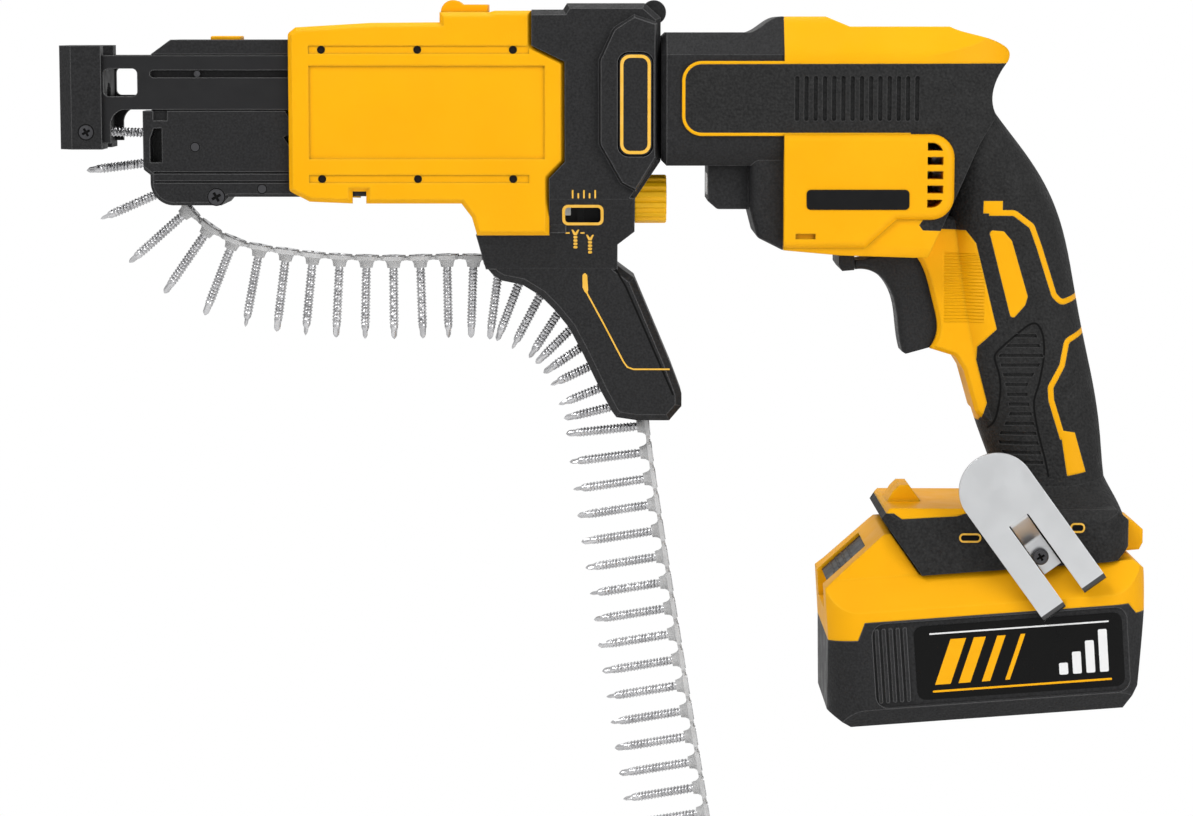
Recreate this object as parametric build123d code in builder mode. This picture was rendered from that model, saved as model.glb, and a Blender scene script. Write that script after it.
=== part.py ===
"""Cordless screw driver with a collated strip magazine, a belt hook and a slide-on pack."""

import os
from math import atan, cos, pi, radians, sin, sqrt, tan

from build123d import *

os.makedirs("parts", exist_ok=True)

# Driving sizes in millimetres; origin in the hand grip, X to the rear, Z up, nose towards -X
DRIVE_Z = 95.5
SEAM_X = -93.0
FIT = 0.3
SEAT = 0.1
SKIN = 1.8

BARREL_HALF = 29.5
PAD_HALF = 32.0
PAD_REAR_X = -28.2
HANDLE_HALF = 19.0
PANEL_HALF = 14.5
FOOT_HALF = 32.0
PACK_HALF = 37.5
PACK_TILT = 4.2

STRIPE_LOW, STRIPE_HIGH = 82.5, 108.4
STRIPE_FRONT_X = -130.6
TONGUE_RIM = 1.2
GRIP_RIBS, GRIP_RIB_PITCH, GRIP_RIB_DEEP = 14, 3.8, 0.7
TONGUE_IN = 24.0

CASE_FRONT_X = -139.6
CASE_HALF = 28.5
SPIGOT_R = 19.0
SPIGOT_LONG = 20.0

STRIPE_RIBS, STRIPE_RIB_X, STRIPE_RIB_PITCH = 14, -88.2, 3.5

TRIGGER_HALF = 10.0
TRIGGER_TRAVEL = 6.5
REVERSE_TRAVEL = 3.0


def side(depth=0.0):
    """Side-view sketch plane, depth out from the mid plane on the near side."""
    return Plane.XZ.offset(depth)


def across(x, z=0.0):
    """Cross-section sketch plane at station x, looking along X."""
    return Plane(origin=(x, 0, z), x_dir=(0, 1, 0), z_dir=(1, 0, 0))


def pegs(places, radius, start, depth, way=1):
    """Round pegs across the tool, from start out on the side way, running depth inward."""
    with BuildPart() as group:
        with BuildSketch(side(way * start)):
            with Locations(*places):
                Circle(radius)
        extrude(amount=-way * depth)
    return group.part


def keep_near(solid):
    """The near half of a solid."""
    with BuildPart() as half:
        add(solid)
        split(bisect_by=Plane.XZ, keep=Keep.TOP)
    return half.part


# Outer form of the motor housing, handle and foot
TAIL_WEB = [(-7.4, 109.4), (-11.2, 104), (-13.6, 96.3), (-11.8, 88.8)]
HANDLE_STATIONS = [
    (90, -34, -11.8, 6.5),
    (74, -32, 1, 5.8),
    (62, -31, 9.2, 4.8),
    (46, -30, 16.3, 3.2),
    (18, -27, 22.4, 0.8),
    (-10, -21.6, 28.4, 0),
    (-28, -16.6, 31.8, -0.5),
    (-46, -10, 33.7, -0.5),
    (-60, -7, 36, 0.5),
]


def barrel_form(inset):
    """Motor housing drawn in by inset: side outline, cross-section and plan meet in one body."""
    front = SEAM_X - 2 * inset
    low, high = inset, 122.6 - inset
    rear = [(x - inset, z) for x, z in TAIL_WEB]
    with BuildPart() as barrel:
        with BuildSketch(side()):
            with BuildLine():
                Spline(*rear)
                Polyline(rear[-1], (-18.5 - inset, 78), (-30 - inset, 52), (-38 - inset, 35 + low))
                Polyline((-38 - inset, 35 + low), (-43, 34.9 + low), (-71, 35.8 + low), (front, 37.8 + low))
                Polyline((front, 37.8 + low), (front, 126.4 - inset), (-77, 126.4 - inset), (-68, high),
                         (-30, high))
                Spline((-30, high), (-20, high - 3.2), (-10.6 - inset / 2, high - 6.4),
                       (-7.2 - inset, 113.6), rear[0])
            make_face()
        extrude(amount=60, both=True)
        with BuildSketch(across(SEAM_X - 9)):
            half = BARREL_HALF - inset
            Polygon((-half, 30), (half, 30), (half, 112), (20, 128), (-20, 128), (-half, 112), align=None)
            fillet(vertices().group_by(Axis.Y)[1], 8)
            fillet(vertices().group_by(Axis.Y)[-1], 8)
            fillet(vertices().group_by(Axis.Y)[0], 10)
        extrude(amount=140, mode=Mode.INTERSECT)
        with BuildSketch(Plane.XY):
            with BuildLine():
                Polyline((-40, half), (SEAM_X - 9, half), (SEAM_X - 9, -half), (-40, -half))
                Spline((-40, -half), (-20, -27 + inset), (-8, -21.5 + inset), (-1.5, -12 + inset), (0, 0))
                Spline((0, 0), (-1.5, 12 - inset), (-8, 21.5 - inset), (-20, 27 - inset), (-40, half))
            make_face()
        extrude(amount=140, mode=Mode.INTERSECT)
    return barrel.part


def tongue_form(inset):
    """Side arm of the housing that lies along the gear case."""
    with BuildPart() as tongue:
        for way in (1, -1):
            with BuildSketch(side(way * TONGUE_IN)):
                low, high = STRIPE_LOW - TONGUE_RIM, STRIPE_HIGH + TONGUE_RIM
                front = STRIPE_FRONT_X - TONGUE_RIM
                Polygon((front, low), (-80, low), (-80, high), (front, high), align=None)
                fillet(vertices().group_by(Axis.X)[0], 7.5)
            extrude(amount=way * (BARREL_HALF - inset - TONGUE_IN))
    return tongue.part


def handle_form(inset):
    """Hand grip lofted through oval stations, with the flare into the foot."""
    with BuildPart() as handle:
        for z, front, back, swell in HANDLE_STATIONS:
            with BuildSketch(Plane.XY.offset(z)):
                with Locations(((front + back) / 2, 0)):
                    half = HANDLE_HALF + swell - inset
                    long = back - front - 2 * inset
                    RectangleRounded(long, 2 * half, min(half, long / 2) - 2.5)
        loft()
    return handle.part


def flare_form(inset):
    """Smooth widening from the hand grip into the foot."""
    with BuildPart() as flare:
        for z, front, back, half, corner in (
            (-46, -7.4, 32, HANDLE_HALF - 2, 15),
            (-57, -10, 36.8, HANDLE_HALF + 2, 16),
            (-64, -14, 40, FOOT_HALF - 4, 17),
            (-70, -18, 41.4, FOOT_HALF - 0.6, 17),
        ):
            with BuildSketch(Plane.XY.offset(z)):
                with Locations(((front + back) / 2, 0)):
                    RectangleRounded(back - front - 2 * inset, 2 * half - 2 * inset, corner - inset)
        loft()
    return flare.part


FOOT_X, FOOT_Z = -39.1, -87.3
FOOT_REAR_Z = FOOT_Z + (36.4 - FOOT_X) * tan(radians(PACK_TILT))
FOOT_OUTLINE = [
    (-54.6, -65.6), (FOOT_X, FOOT_Z), (36.4, FOOT_REAR_Z), (41.5, -77),
    (41.5, -67), (36, -62), (-51.5, -61.6),
]


def foot_form(inset):
    """Pack foot: side outline met with a rounded plan."""
    with BuildPart() as foot:
        with BuildSketch(side()):
            Polygon(*FOOT_OUTLINE, align=None)
            if inset:
                offset(amount=-inset, kind=Kind.INTERSECTION)
        extrude(amount=60, both=True)
        with BuildSketch(Plane.XY.offset(-100)):
            with Locations((-8, 0)):
                RectangleRounded(100 - 2 * inset, 2 * FOOT_HALF - 2 * inset, 13 - inset)
        extrude(amount=50, mode=Mode.INTERSECT)
        with BuildSketch(across(-70)):
            half = FOOT_HALF - inset
            Polygon((-half, -100), (half, -100), (half, -66), (half - 6, -58), (6 - half, -58),
                    (-half, -66), align=None)
            fillet(vertices().group_by(Axis.Y)[1], 4)
        extrude(amount=130, mode=Mode.INTERSECT)
    return foot.part


PAD_OUTLINE = [(SEAM_X, 38.6), (-62, 38.6), (-50, 49.4), (PAD_REAR_X, 49.4), (PAD_REAR_X, 82), (SEAM_X, 82)]

with BuildPart() as pad_form:
    with BuildSketch(side(PAD_HALF)):
        Polygon(*PAD_OUTLINE, align=None)
        fillet(vertices().group_by(Axis.X)[-1], 9)
    extrude(amount=-2 * PAD_HALF)
    fillet(pad_form.edges().filter_by(lambda e: abs(abs(e.center().Y) - PAD_HALF) < 0.1).filter_by(
        lambda e: e.center().X > SEAM_X + 1), 3)

with BuildPart() as panel_form:
    with BuildSketch(side(PANEL_HALF)):
        with BuildLine():
            Spline((-43, 37), (-38.2, 30.2), (-34.5, 17.8), (-32.4, 6), (-35.2, -1.2))
            Polyline((-35.2, -1.2), (-25.5, -4.2), (-22, -9.8), (-17.4, -25.9), (-13.6, -29.4), (0, -29.4),
                     (0, 50))
            Polyline((0, 50), (-43, 50), (-43, 37))
        make_face()
        fillet(vertices().group_by(Axis.X)[2:5], 3)
    extrude(amount=-2 * PANEL_HALF)
    chamfer(panel_form.edges().filter_by(lambda e: abs(abs(e.center().Y) - PANEL_HALF) < 0.1).filter_by(
        lambda e: e.center().X < -14), 1.5)

with BuildPart() as outer_form:
    add(barrel_form(0))
    add(handle_form(0))
    add(flare_form(0))
    add(foot_form(0))
    add(pad_form.part)
    add(panel_form.part)
    add(tongue_form(0))

with BuildPart() as core_form:
    add(barrel_form(SKIN))
    add(handle_form(SKIN))
    add(flare_form(SKIN))
    add(foot_form(SKIN))
    add(tongue_form(SKIN))

near_outer = keep_near(outer_form.part)

# Motor, gears and shafts
MOTOR_DROP = 20.0
MOTOR_Z = DRIVE_Z - MOTOR_DROP
PINION_TEETH, GEAR_TEETH = 12, 48
GEAR_MODULE = 2 * MOTOR_DROP / (PINION_TEETH + GEAR_TEETH)
GEAR_PRESSURE = 25.0
GEAR_PLAY = 0.14
GEAR_X, GEAR_WIDE = -114.0, 9.0
STATOR_R, STATOR_BORE = 23.0, 11.6
STATOR_X, STATOR_LONG = -84.0, 36.0
AIR_GAP = 0.4
SHAFT_R = 2.5
SPINDLE_R = 6.0
FAN_R = 20.0
PLATE_X = -99.5
BIT_FLAT = 6.35
BIT_TIP_X = -325.0


def wheel_sketch(teeth, phase):
    """Involute wheel outline in the current sketch, one tooth centred at phase degrees."""
    pitch_r = GEAR_MODULE * teeth / 2
    base_r = pitch_r * cos(radians(GEAR_PRESSURE))
    root_r = pitch_r - GEAR_MODULE
    tip_r = pitch_r + 0.8 * GEAR_MODULE
    half = pi / (2 * teeth) - GEAR_PLAY / (2 * pitch_r)
    points = []
    for count in range(teeth):
        mid = radians(phase) + 2 * pi * count / teeth
        flank = []
        for step in range(4):
            r = max(base_r, root_r) + (tip_r - max(base_r, root_r)) * step / 3
            roll = sqrt((r / base_r) ** 2 - 1)
            roll_pitch = sqrt((pitch_r / base_r) ** 2 - 1)
            flank.append((r, half + roll_pitch - atan(roll_pitch) - roll + atan(roll)))
        points.append((root_r * cos(mid - flank[0][1] * 1.15), root_r * sin(mid - flank[0][1] * 1.15)))
        points += [(r * cos(mid - turn), r * sin(mid - turn)) for r, turn in flank]
        points += [(r * cos(mid + turn), r * sin(mid + turn)) for r, turn in reversed(flank)]
        points.append((root_r * cos(mid + flank[0][1] * 1.15), root_r * sin(mid + flank[0][1] * 1.15)))
    Polygon(*points, align=None)


def turned(x0, z, rings):
    """Turned piece along X from station x0: rings are (length, outer radius, bore radius)."""
    with BuildPart() as piece:
        at = x0
        for long, outer, bore in rings:
            with BuildSketch(across(at, z)):
                Circle(outer)
                if bore:
                    Circle(bore, mode=Mode.SUBTRACT)
            extrude(amount=long)
            at += long
    return piece.part


SPINDLE_FRONT_X = -166.0
FRONT_BEARING = (-152.0, 8.0, 12.0)
REAR_BEARING = (PLATE_X + 0.5, 5.0, 11.0)
MOTOR_FRONT_BEARING = (PLATE_X + 0.5, 5.0, 7.5)
MOTOR_REAR_BEARING = (-31.0, 4.5, 7.5)

with BuildPart() as drive_gear:
    with BuildSketch(across(GEAR_X, DRIVE_Z)):
        wheel_sketch(GEAR_TEETH, 90)
        Circle(SPINDLE_R, mode=Mode.SUBTRACT)
    extrude(amount=GEAR_WIDE)
    with BuildSketch(across(GEAR_X, DRIVE_Z)):
        Circle(11)
        Circle(SPINDLE_R, mode=Mode.SUBTRACT)
    extrude(amount=-4)

with BuildPart() as spindle:
    add(turned(SPINDLE_FRONT_X, DRIVE_Z, [(8, 7.5, 0), (6, 8.5, 0), (64, SPINDLE_R, 0)]))
    with BuildSketch(across(SPINDLE_FRONT_X, DRIVE_Z)):
        RegularPolygon(BIT_FLAT / 2, 6, major_radius=False)
    extrude(amount=12, mode=Mode.SUBTRACT)

with BuildPart() as driver_bit:
    with BuildSketch(across(BIT_TIP_X + 12, DRIVE_Z)):
        RegularPolygon(BIT_FLAT / 2, 6, major_radius=False)
    extrude(amount=SPINDLE_FRONT_X - BIT_TIP_X)
    with BuildSketch(across(BIT_TIP_X + 12, DRIVE_Z)):
        Circle(2.6)
    extrude(amount=-8)
    with BuildSketch(across(BIT_TIP_X + 4, DRIVE_Z)):
        Circle(2.6)
    extrude(amount=-4, taper=24)

with BuildPart() as spindle_bearings:
    for x, long, r in (FRONT_BEARING, REAR_BEARING):
        add(turned(x, DRIVE_Z, [(long, r, SPINDLE_R + FIT)]))

with BuildPart() as rotor_bearings:
    for x, long, r in (MOTOR_FRONT_BEARING, MOTOR_REAR_BEARING):
        add(turned(x, MOTOR_Z, [(long, r, SHAFT_R + FIT)]))

with BuildPart() as pinion:
    with BuildSketch(across(GEAR_X - 0.5, MOTOR_Z)):
        wheel_sketch(PINION_TEETH, 90 + 180 / PINION_TEETH)
        Circle(SHAFT_R, mode=Mode.SUBTRACT)
    extrude(amount=GEAR_WIDE + 1)

with BuildPart() as rotor:
    reach = MOTOR_REAR_BEARING[0] + MOTOR_REAR_BEARING[1] - GEAR_X + 1
    add(turned(GEAR_X - 1, MOTOR_Z, [(reach, SHAFT_R, 0)]))
    with BuildSketch(across(STATOR_X, MOTOR_Z)):
        Circle(STATOR_BORE - AIR_GAP)
    extrude(amount=STATOR_LONG)

with BuildPart() as fan:
    fan_x = STATOR_X + STATOR_LONG + 4
    add(turned(fan_x, MOTOR_Z, [(2, FAN_R, SHAFT_R), (6, 6, SHAFT_R)]))
    with BuildSketch(across(fan_x + 2, MOTOR_Z)):
        with PolarLocations(0, 11):
            with Locations((12.5, 0)):
                Rectangle(14, 1.4)
    extrude(amount=6)

with BuildPart() as stator:
    add(turned(STATOR_X, MOTOR_Z, [(STATOR_LONG, STATOR_R, STATOR_BORE)]))
    with BuildSketch(across(STATOR_X, MOTOR_Z)):
        with PolarLocations(0, 6):
            with Locations((16, 0)):
                Rectangle(6, 7)
    extrude(amount=STATOR_LONG, mode=Mode.SUBTRACT)

with BuildPart() as bearing_plate:
    with BuildSketch(across(PLATE_X, DRIVE_Z)):
        Circle(20)
        with Locations((0, -MOTOR_DROP)):
            Circle(13)
        with Locations((0, -MOTOR_DROP / 2)):
            Rectangle(26, MOTOR_DROP)
    extrude(amount=SEAM_X - PLATE_X)
    for z, (x, long, r) in ((DRIVE_Z, REAR_BEARING), (MOTOR_Z, MOTOR_FRONT_BEARING)):
        with BuildSketch(across(x, z)):
            Circle(r + SEAT)
        extrude(amount=long, mode=Mode.SUBTRACT)
    with BuildSketch(across(PLATE_X, DRIVE_Z)):
        Circle(SPINDLE_R + 1)
        with Locations((0, -MOTOR_DROP)):
            Circle(SHAFT_R + 1)
    extrude(amount=8, mode=Mode.SUBTRACT)

# Gear case: rounded nose, lamp box and the spigot that carries the magazine
LAMP_HALF = 13.0

with BuildPart() as gear_case:
    with BuildSketch(side()):
        with BuildLine():
            Polyline((CASE_FRONT_X, 69.8), (CASE_FRONT_X, 120.4), (-106, 120.4))
            Spline((-106, 120.4), (-102, 122.4), (-98, 125.2), (SEAM_X, 126.4))
            Polyline((SEAM_X, 126.4), (SEAM_X, 69.8), (CASE_FRONT_X, 69.8))
        make_face()
    extrude(amount=40, both=True)
    with BuildSketch(across(CASE_FRONT_X)):
        Polygon((-CASE_HALF, 66), (CASE_HALF, 66), (CASE_HALF, 112), (20, 128), (-20, 128), (-CASE_HALF, 112),
                align=None)
        fillet(vertices().group_by(Axis.Y)[0], 14)
        fillet(vertices().group_by(Axis.Y)[1], 9)
    extrude(amount=60, mode=Mode.INTERSECT)
    chamfer(gear_case.faces().sort_by(Axis.X)[0].edges(), 2)
    with BuildSketch(side(26)):
        Polygon((SEAM_X, 37.4), (-103, 42.4), (-106, 54), (-106, 90), (SEAM_X, 90), align=None)
        fillet(vertices().sort_by(Axis.Y)[1], 3)
    extrude(amount=-52)
    fillet(gear_case.edges().filter_by(lambda e: abs(abs(e.center().Y) - 26) < 0.05 and e.center().Z < 72
                                       and e.center().X < SEAM_X - 0.5), 4)
    with BuildSketch(side(LAMP_HALF + 5)):
        Polygon((-121.6, 72), (-121.6, 56), (-118, 52.9), (-104, 52.9), (-104, 72), align=None)
        fillet(vertices().group_by(Axis.Y)[0], 2)
    extrude(amount=-2 * (LAMP_HALF + 5))
    with BuildSketch(across(CASE_FRONT_X + 3, DRIVE_Z)):
        Circle(SPIGOT_R)
    extrude(amount=-SPIGOT_LONG - 3)
    add(tongue_form(0), mode=Mode.SUBTRACT)
    with BuildSketch(across(SEAM_X, DRIVE_Z)):
        Circle(20)
        with Locations((0, -MOTOR_DROP)):
            Circle(13)
        with Locations((0, -MOTOR_DROP / 2)):
            Rectangle(26, MOTOR_DROP)
    extrude(amount=GEAR_X - 6 - SEAM_X, mode=Mode.SUBTRACT)
    with BuildSketch(across(GEAR_X, DRIVE_Z)):
        Circle(SPINDLE_R + 3)
    extrude(amount=-60, mode=Mode.SUBTRACT)
    with BuildSketch(across(FRONT_BEARING[0], DRIVE_Z)):
        Circle(FRONT_BEARING[2] + SEAT)
    extrude(amount=FRONT_BEARING[1], mode=Mode.SUBTRACT)
    with BuildSketch(across(-121.6, 62)):
        RectangleRounded(2 * LAMP_HALF, 8, 2)
    extrude(amount=3, mode=Mode.SUBTRACT)

with BuildPart() as lamp_lens:
    with BuildSketch(across(-121.6, 62)):
        RectangleRounded(2 * LAMP_HALF, 8, 2)
    extrude(amount=3)

# Soft grip skins: one region in side view, cut from the outer form down to the core
with BuildPart() as skin_room:
    with BuildSketch(side()) as grip_region:
        Polygon((STRIPE_FRONT_X, STRIPE_LOW), (STRIPE_FRONT_X, STRIPE_HIGH), (60, STRIPE_HIGH + 0.4),
                (60, -100),
                (-80, -100), (-80, -63.4), (-50, -63.4), (-47, -65.4), (-26, -64.4), (-13, -61), (-40, -52),
                (-40, -29.8), (-15.4, -29.8), (-12.9, -22.3), (-17.3, -5.5), (-17.1, -0.3), (-10.1, 6.7),
                (-18.5, 39.9), (-22.3, 44.8), (-40, 45.4), (-41.4, 47.4), (-40, 49.4), (-45, 55),
                (-45, STRIPE_LOW), align=None)
        fillet(vertices().group_by(Axis.X)[0], 7.5 - TONGUE_RIM)
        with BuildSketch(mode=Mode.SUBTRACT):
            Polygon(*PAD_OUTLINE, align=None)
            fillet(vertices().group_by(Axis.X)[-1], 9)
        with BuildSketch(mode=Mode.SUBTRACT):
            Polygon((-13.9, 45.1), (-8.2, 44.6), (-5, 40.9), (1.6, 19.4), (0.7, 16.1), (-4.5, 10), align=None)
            fillet(vertices(), 1.2)
        with BuildSketch(mode=Mode.SUBTRACT):
            Polygon((-16.2, 56.3), (-8.9, 56.3), (-8.9, 51.5), (-16.2, 51.5), align=None)
            with BuildLine():
                FilletPolyline((-14, 51.7), (-4.4, 51.7), (2.6, 46.5), (5.8, 38.1), (11.9, 19.8),
                               (14.9, 16.8), (26, 20),
                               radius=3)
            trace(line_width=2.2)
        with BuildSketch(mode=Mode.SUBTRACT):
            Polygon((15.2, -32.6), (20.8, -33.5), (25.4, -49), (18, -50.4), align=None)
            with BuildLine():
                FilletPolyline((32, 6.5), (24.4, 5.4), (17.2, 2), (15.4, -7.4), (11, -15.8), (11.4, -20.9),
                               (16.2, -36),
                               radius=3)
            trace(line_width=2.2)
    extrude(amount=70)
    add(core_form.part, mode=Mode.SUBTRACT)

with BuildPart() as grip_left:
    add(near_outer)
    add(skin_room.part, mode=Mode.INTERSECT)

# Pack: the slide rail, tray, lid, cells and latch lie in a frame tilted with the foot
RAIL_STEM, RAIL_HALF = 16.0, 20.0
RAIL_FROM, RAIL_TO = 4.0, 66.0
RAIL_LOW, RAIL_HIGH = 3.6, 7.0
PACK_FRONT_U, PACK_REAR_U = -40.0, 86.4
PACK_LOW_V = -57.0
SPLIT_V = -15.8
PACK_SPLIT = [(-26.5, -22.5), (-23.5, SPLIT_V), (78, SPLIT_V), (81, -20), (84.8, -20)]
SLOPE_FOOT, SLOPE_TOP = (-37.4, -2.7), (-15.0, 14.8)
CELL_R, CELL_LONG = 9.1, 65.0
PACK_WALL = 2.4
LATCH_TRAVEL = 3.0
LATCH_HALF, LATCH_DEEP = 17.0, 7.6


def pack_side(depth=0.0, u=0.0, v=0.0):
    """Side-view plane of the tilted pack, sketch x along the rail, y away from the base."""
    c, s = cos(radians(PACK_TILT)), sin(radians(PACK_TILT))
    at = (FOOT_X + u * c - v * s, -depth, FOOT_Z + u * s + v * c)
    return Plane(origin=at, x_dir=(c, 0, s), z_dir=(0, -1, 0))


def pack_plan(v=0.0):
    """Plan-view plane of the pack, sketch x along the rail, looking down on the base."""
    c, s = cos(radians(PACK_TILT)), sin(radians(PACK_TILT))
    return Plane(origin=(FOOT_X - v * s, 0, FOOT_Z + v * c), x_dir=(c, 0, s), z_dir=(-s, 0, c))


def on_slope(far, deep):
    """Point of the pack side view, far up the front slope of the lid and deep below it."""
    rise = atan((SLOPE_TOP[1] - SLOPE_FOOT[1]) / (SLOPE_TOP[0] - SLOPE_FOOT[0]))
    return (SLOPE_FOOT[0] + far * cos(rise) + deep * sin(rise),
            SLOPE_FOOT[1] + far * sin(rise) - deep * cos(rise))


with BuildPart() as rail_room:
    for half, low, high in ((RAIL_STEM, -1, RAIL_HIGH), (RAIL_HALF, RAIL_LOW, RAIL_HIGH)):
        with BuildSketch(pack_side(half + FIT)):
            Polygon((-40, low - FIT * (low > 0)), (RAIL_TO + FIT, low - FIT * (low > 0)),
                    (RAIL_TO + FIT, high + FIT),
                    (-40, high + FIT), align=None)
        extrude(amount=-2 * (half + FIT))

with BuildPart() as battery_lid:
    with BuildSketch(pack_side()):
        Polygon((-37.6, -22.5), SLOPE_FOOT, SLOPE_TOP, (-13, 16.2), (-10.5, 16.2), (-0.6, -FIT), (82, -FIT),
                (PACK_REAR_U, -4.5), *reversed(PACK_SPLIT), align=None)
    extrude(amount=60, both=True)
    with BuildSketch(pack_plan(-60)):
        with Locations(((PACK_FRONT_U + PACK_REAR_U) / 2, 0)):
            RectangleRounded(PACK_REAR_U - PACK_FRONT_U, 2 * PACK_HALF, 15)
    extrude(amount=100, mode=Mode.INTERSECT)
    with BuildSketch(Plane(pack_side(0).origin, x_dir=(0, 1, 0), z_dir=pack_side(0).x_dir)):
        half = PACK_HALF
        Polygon((-half, -60), (half, -60), (half, -12), (half - 9, 0), (half - 12, 24), (12 - half, 24),
                (9 - half, 0),
                (-half, -12), align=None)
    extrude(amount=100, both=True, mode=Mode.INTERSECT)
    with BuildSketch(pack_side(RAIL_STEM)):
        Polygon((RAIL_FROM, -2), (RAIL_TO, -2), (RAIL_TO, RAIL_HIGH), (RAIL_FROM, RAIL_HIGH), align=None)
    extrude(amount=-2 * RAIL_STEM)
    with BuildSketch(pack_side(RAIL_HALF)):
        Polygon((RAIL_FROM, RAIL_LOW), (RAIL_TO, RAIL_LOW), (RAIL_TO, RAIL_HIGH), (RAIL_FROM, RAIL_HIGH),
                align=None)
    extrude(amount=-2 * RAIL_HALF)
    with BuildSketch(pack_side(PACK_HALF - 9.5)):
        Polygon((-20, -30), (76, -30), (76, -4), (-4, -4), (-20, -10), align=None)
    extrude(amount=-2 * (PACK_HALF - 9.5), mode=Mode.SUBTRACT)
    with BuildSketch(pack_side(LATCH_HALF + FIT)):
        Polygon((-45, -13), (-32.4, -13), on_slope(0, LATCH_DEEP), on_slope(22, LATCH_DEEP),
                on_slope(22, -5), (-45, 2),
                align=None)
    extrude(amount=-2 * (LATCH_HALF + FIT), mode=Mode.SUBTRACT)

with BuildPart() as battery_latch:
    with BuildSketch(pack_side(LATCH_HALF)):
        Polygon(on_slope(1.5, 1.2), on_slope(22 - FIT, 1.2), on_slope(22 - FIT, 4.2), on_slope(1.5, 4.2),
                align=None)
    extrude(amount=-2 * LATCH_HALF)
    with BuildSketch(pack_side(LATCH_HALF - 4)):
        for count in range(4):
            Polygon(on_slope(5 + 3 * count, 1.5), on_slope(5.8 + 3 * count, 0.4),
                    on_slope(6.6 + 3 * count, 1.5), align=None)
    extrude(amount=-2 * (LATCH_HALF - 4))

with BuildPart() as battery_tray:
    with BuildSketch(pack_side(0, 0, -SEAT)):
        Polygon((-37.6, -22.5), *PACK_SPLIT, (79.8, -48), (74, PACK_LOW_V), (-31, PACK_LOW_V), (-39.6, -50.5),
                align=None)
    extrude(amount=60, both=True)
    with BuildSketch(pack_plan(-60)):
        with Locations(((PACK_FRONT_U + PACK_REAR_U) / 2, 0)):
            RectangleRounded(PACK_REAR_U - PACK_FRONT_U, 2 * PACK_HALF, 15)
    extrude(amount=100, mode=Mode.INTERSECT)
    with BuildSketch(Plane(pack_side(0).origin, x_dir=(0, 1, 0), z_dir=pack_side(0).x_dir)):
        half = PACK_HALF
        Polygon((-half, 0), (-half, -50), (5 - half, PACK_LOW_V), (half - 5, PACK_LOW_V), (half, -50),
                (half, 0),
                align=None)
    extrude(amount=100, both=True, mode=Mode.INTERSECT)
    with BuildSketch(pack_side(CELL_LONG / 2)):
        Polygon((-20.5, PACK_LOW_V + PACK_WALL), (72, PACK_LOW_V + PACK_WALL), (76.6, PACK_LOW_V + 7),
                (76.6, 0),
                (-20.5, 0), align=None)
    extrude(amount=-CELL_LONG, mode=Mode.SUBTRACT)
    for way in (1, -1):
        with BuildSketch(pack_side(way * PACK_HALF)):
            with Locations((28, -33.2)):
                RectangleRounded(98, 33, 5)
        extrude(amount=-way * 1.2, mode=Mode.SUBTRACT)
        with BuildSketch(pack_side(way * (PACK_HALF - 1.2))):
            for count in range(5):
                with Locations((-19.2 + 2.7 * count, -33.2)):
                    RectangleRounded(1.5, 29, 0.7)
        extrude(amount=way * 0.9)

with BuildPart() as battery_cells:
    for row in range(2):
        for count in range(5):
            with BuildSketch(pack_side(CELL_LONG / 2)):
                with Locations((-10.8 + 19 * count, PACK_LOW_V + PACK_WALL + CELL_R * (1 + 2 * row) + 0.2 * row)):
                    Circle(CELL_R)
            extrude(amount=-CELL_LONG)

# Trigger, switch, direction button, board and contacts inside the handle
SWITCH_BOX = (-12.0, 12.0, -12.0, 30.0, 8.5)
BOARD_BOX = (-36.0, 30.0, -72.5, -67.5, 25.0)
CONTACT_BOX = (-20.0, 16.0, -75.5, -72.5, 14.0)


def box(bounds):
    """Upright box given as x from, x to, z from, z to, half width."""
    x0, x1, z0, z1, half = bounds
    with BuildPart() as block:
        with BuildSketch(side(half)):
            Polygon((x0, z0), (x1, z0), (x1, z1), (x0, z1), align=None)
        extrude(amount=-2 * half)
    return block.part


with BuildPart() as trigger:
    with BuildSketch(side(TRIGGER_HALF)):
        with BuildLine():
            Spline((-64, 29), (-55.3, 27), (-49.8, 19.7), (-46.9, 4), (-45.5, -3))
            Polyline((-45.5, -3), (-44.2, -3.7), (-33.4, -0.7), (-20, -0.7), (-20, 34.4), (-52, 34.4),
                     (-64, 32.5))
            Line((-64, 32.5), (-64, 29))
        make_face()
    extrude(amount=-2 * TRIGGER_HALF)
    fillet(trigger.edges().filter_by(GeomType.BSPLINE), 2.5)

with BuildPart() as switch_module:
    add(box(SWITCH_BOX))
    with BuildSketch(across(SWITCH_BOX[0], 15)):
        Circle(3)
    extrude(amount=-(20 - TRIGGER_TRAVEL + SWITCH_BOX[0]) + 0.6)

REVERSE_HALF = 17.0
with BuildPart() as reverse_button:
    with BuildSketch(side(REVERSE_HALF)):
        Polygon((-71, 31), (-69.6, 29), (-65, 29.4), (-65, 35), (-71, 35), align=None)
        fillet(vertices().group_by(Axis.X)[0], 0.8)
    extrude(amount=-2 * REVERSE_HALF)
    with BuildSketch(side(12)):
        Polygon((-69.4, 34), (-66.6, 34), (-66.6, 41), (-69.4, 41), align=None)
    extrude(amount=-24)

with BuildPart() as control_board:
    add(box(BOARD_BOX))

with BuildPart() as contact_block:
    add(box(CONTACT_BOX))

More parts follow.
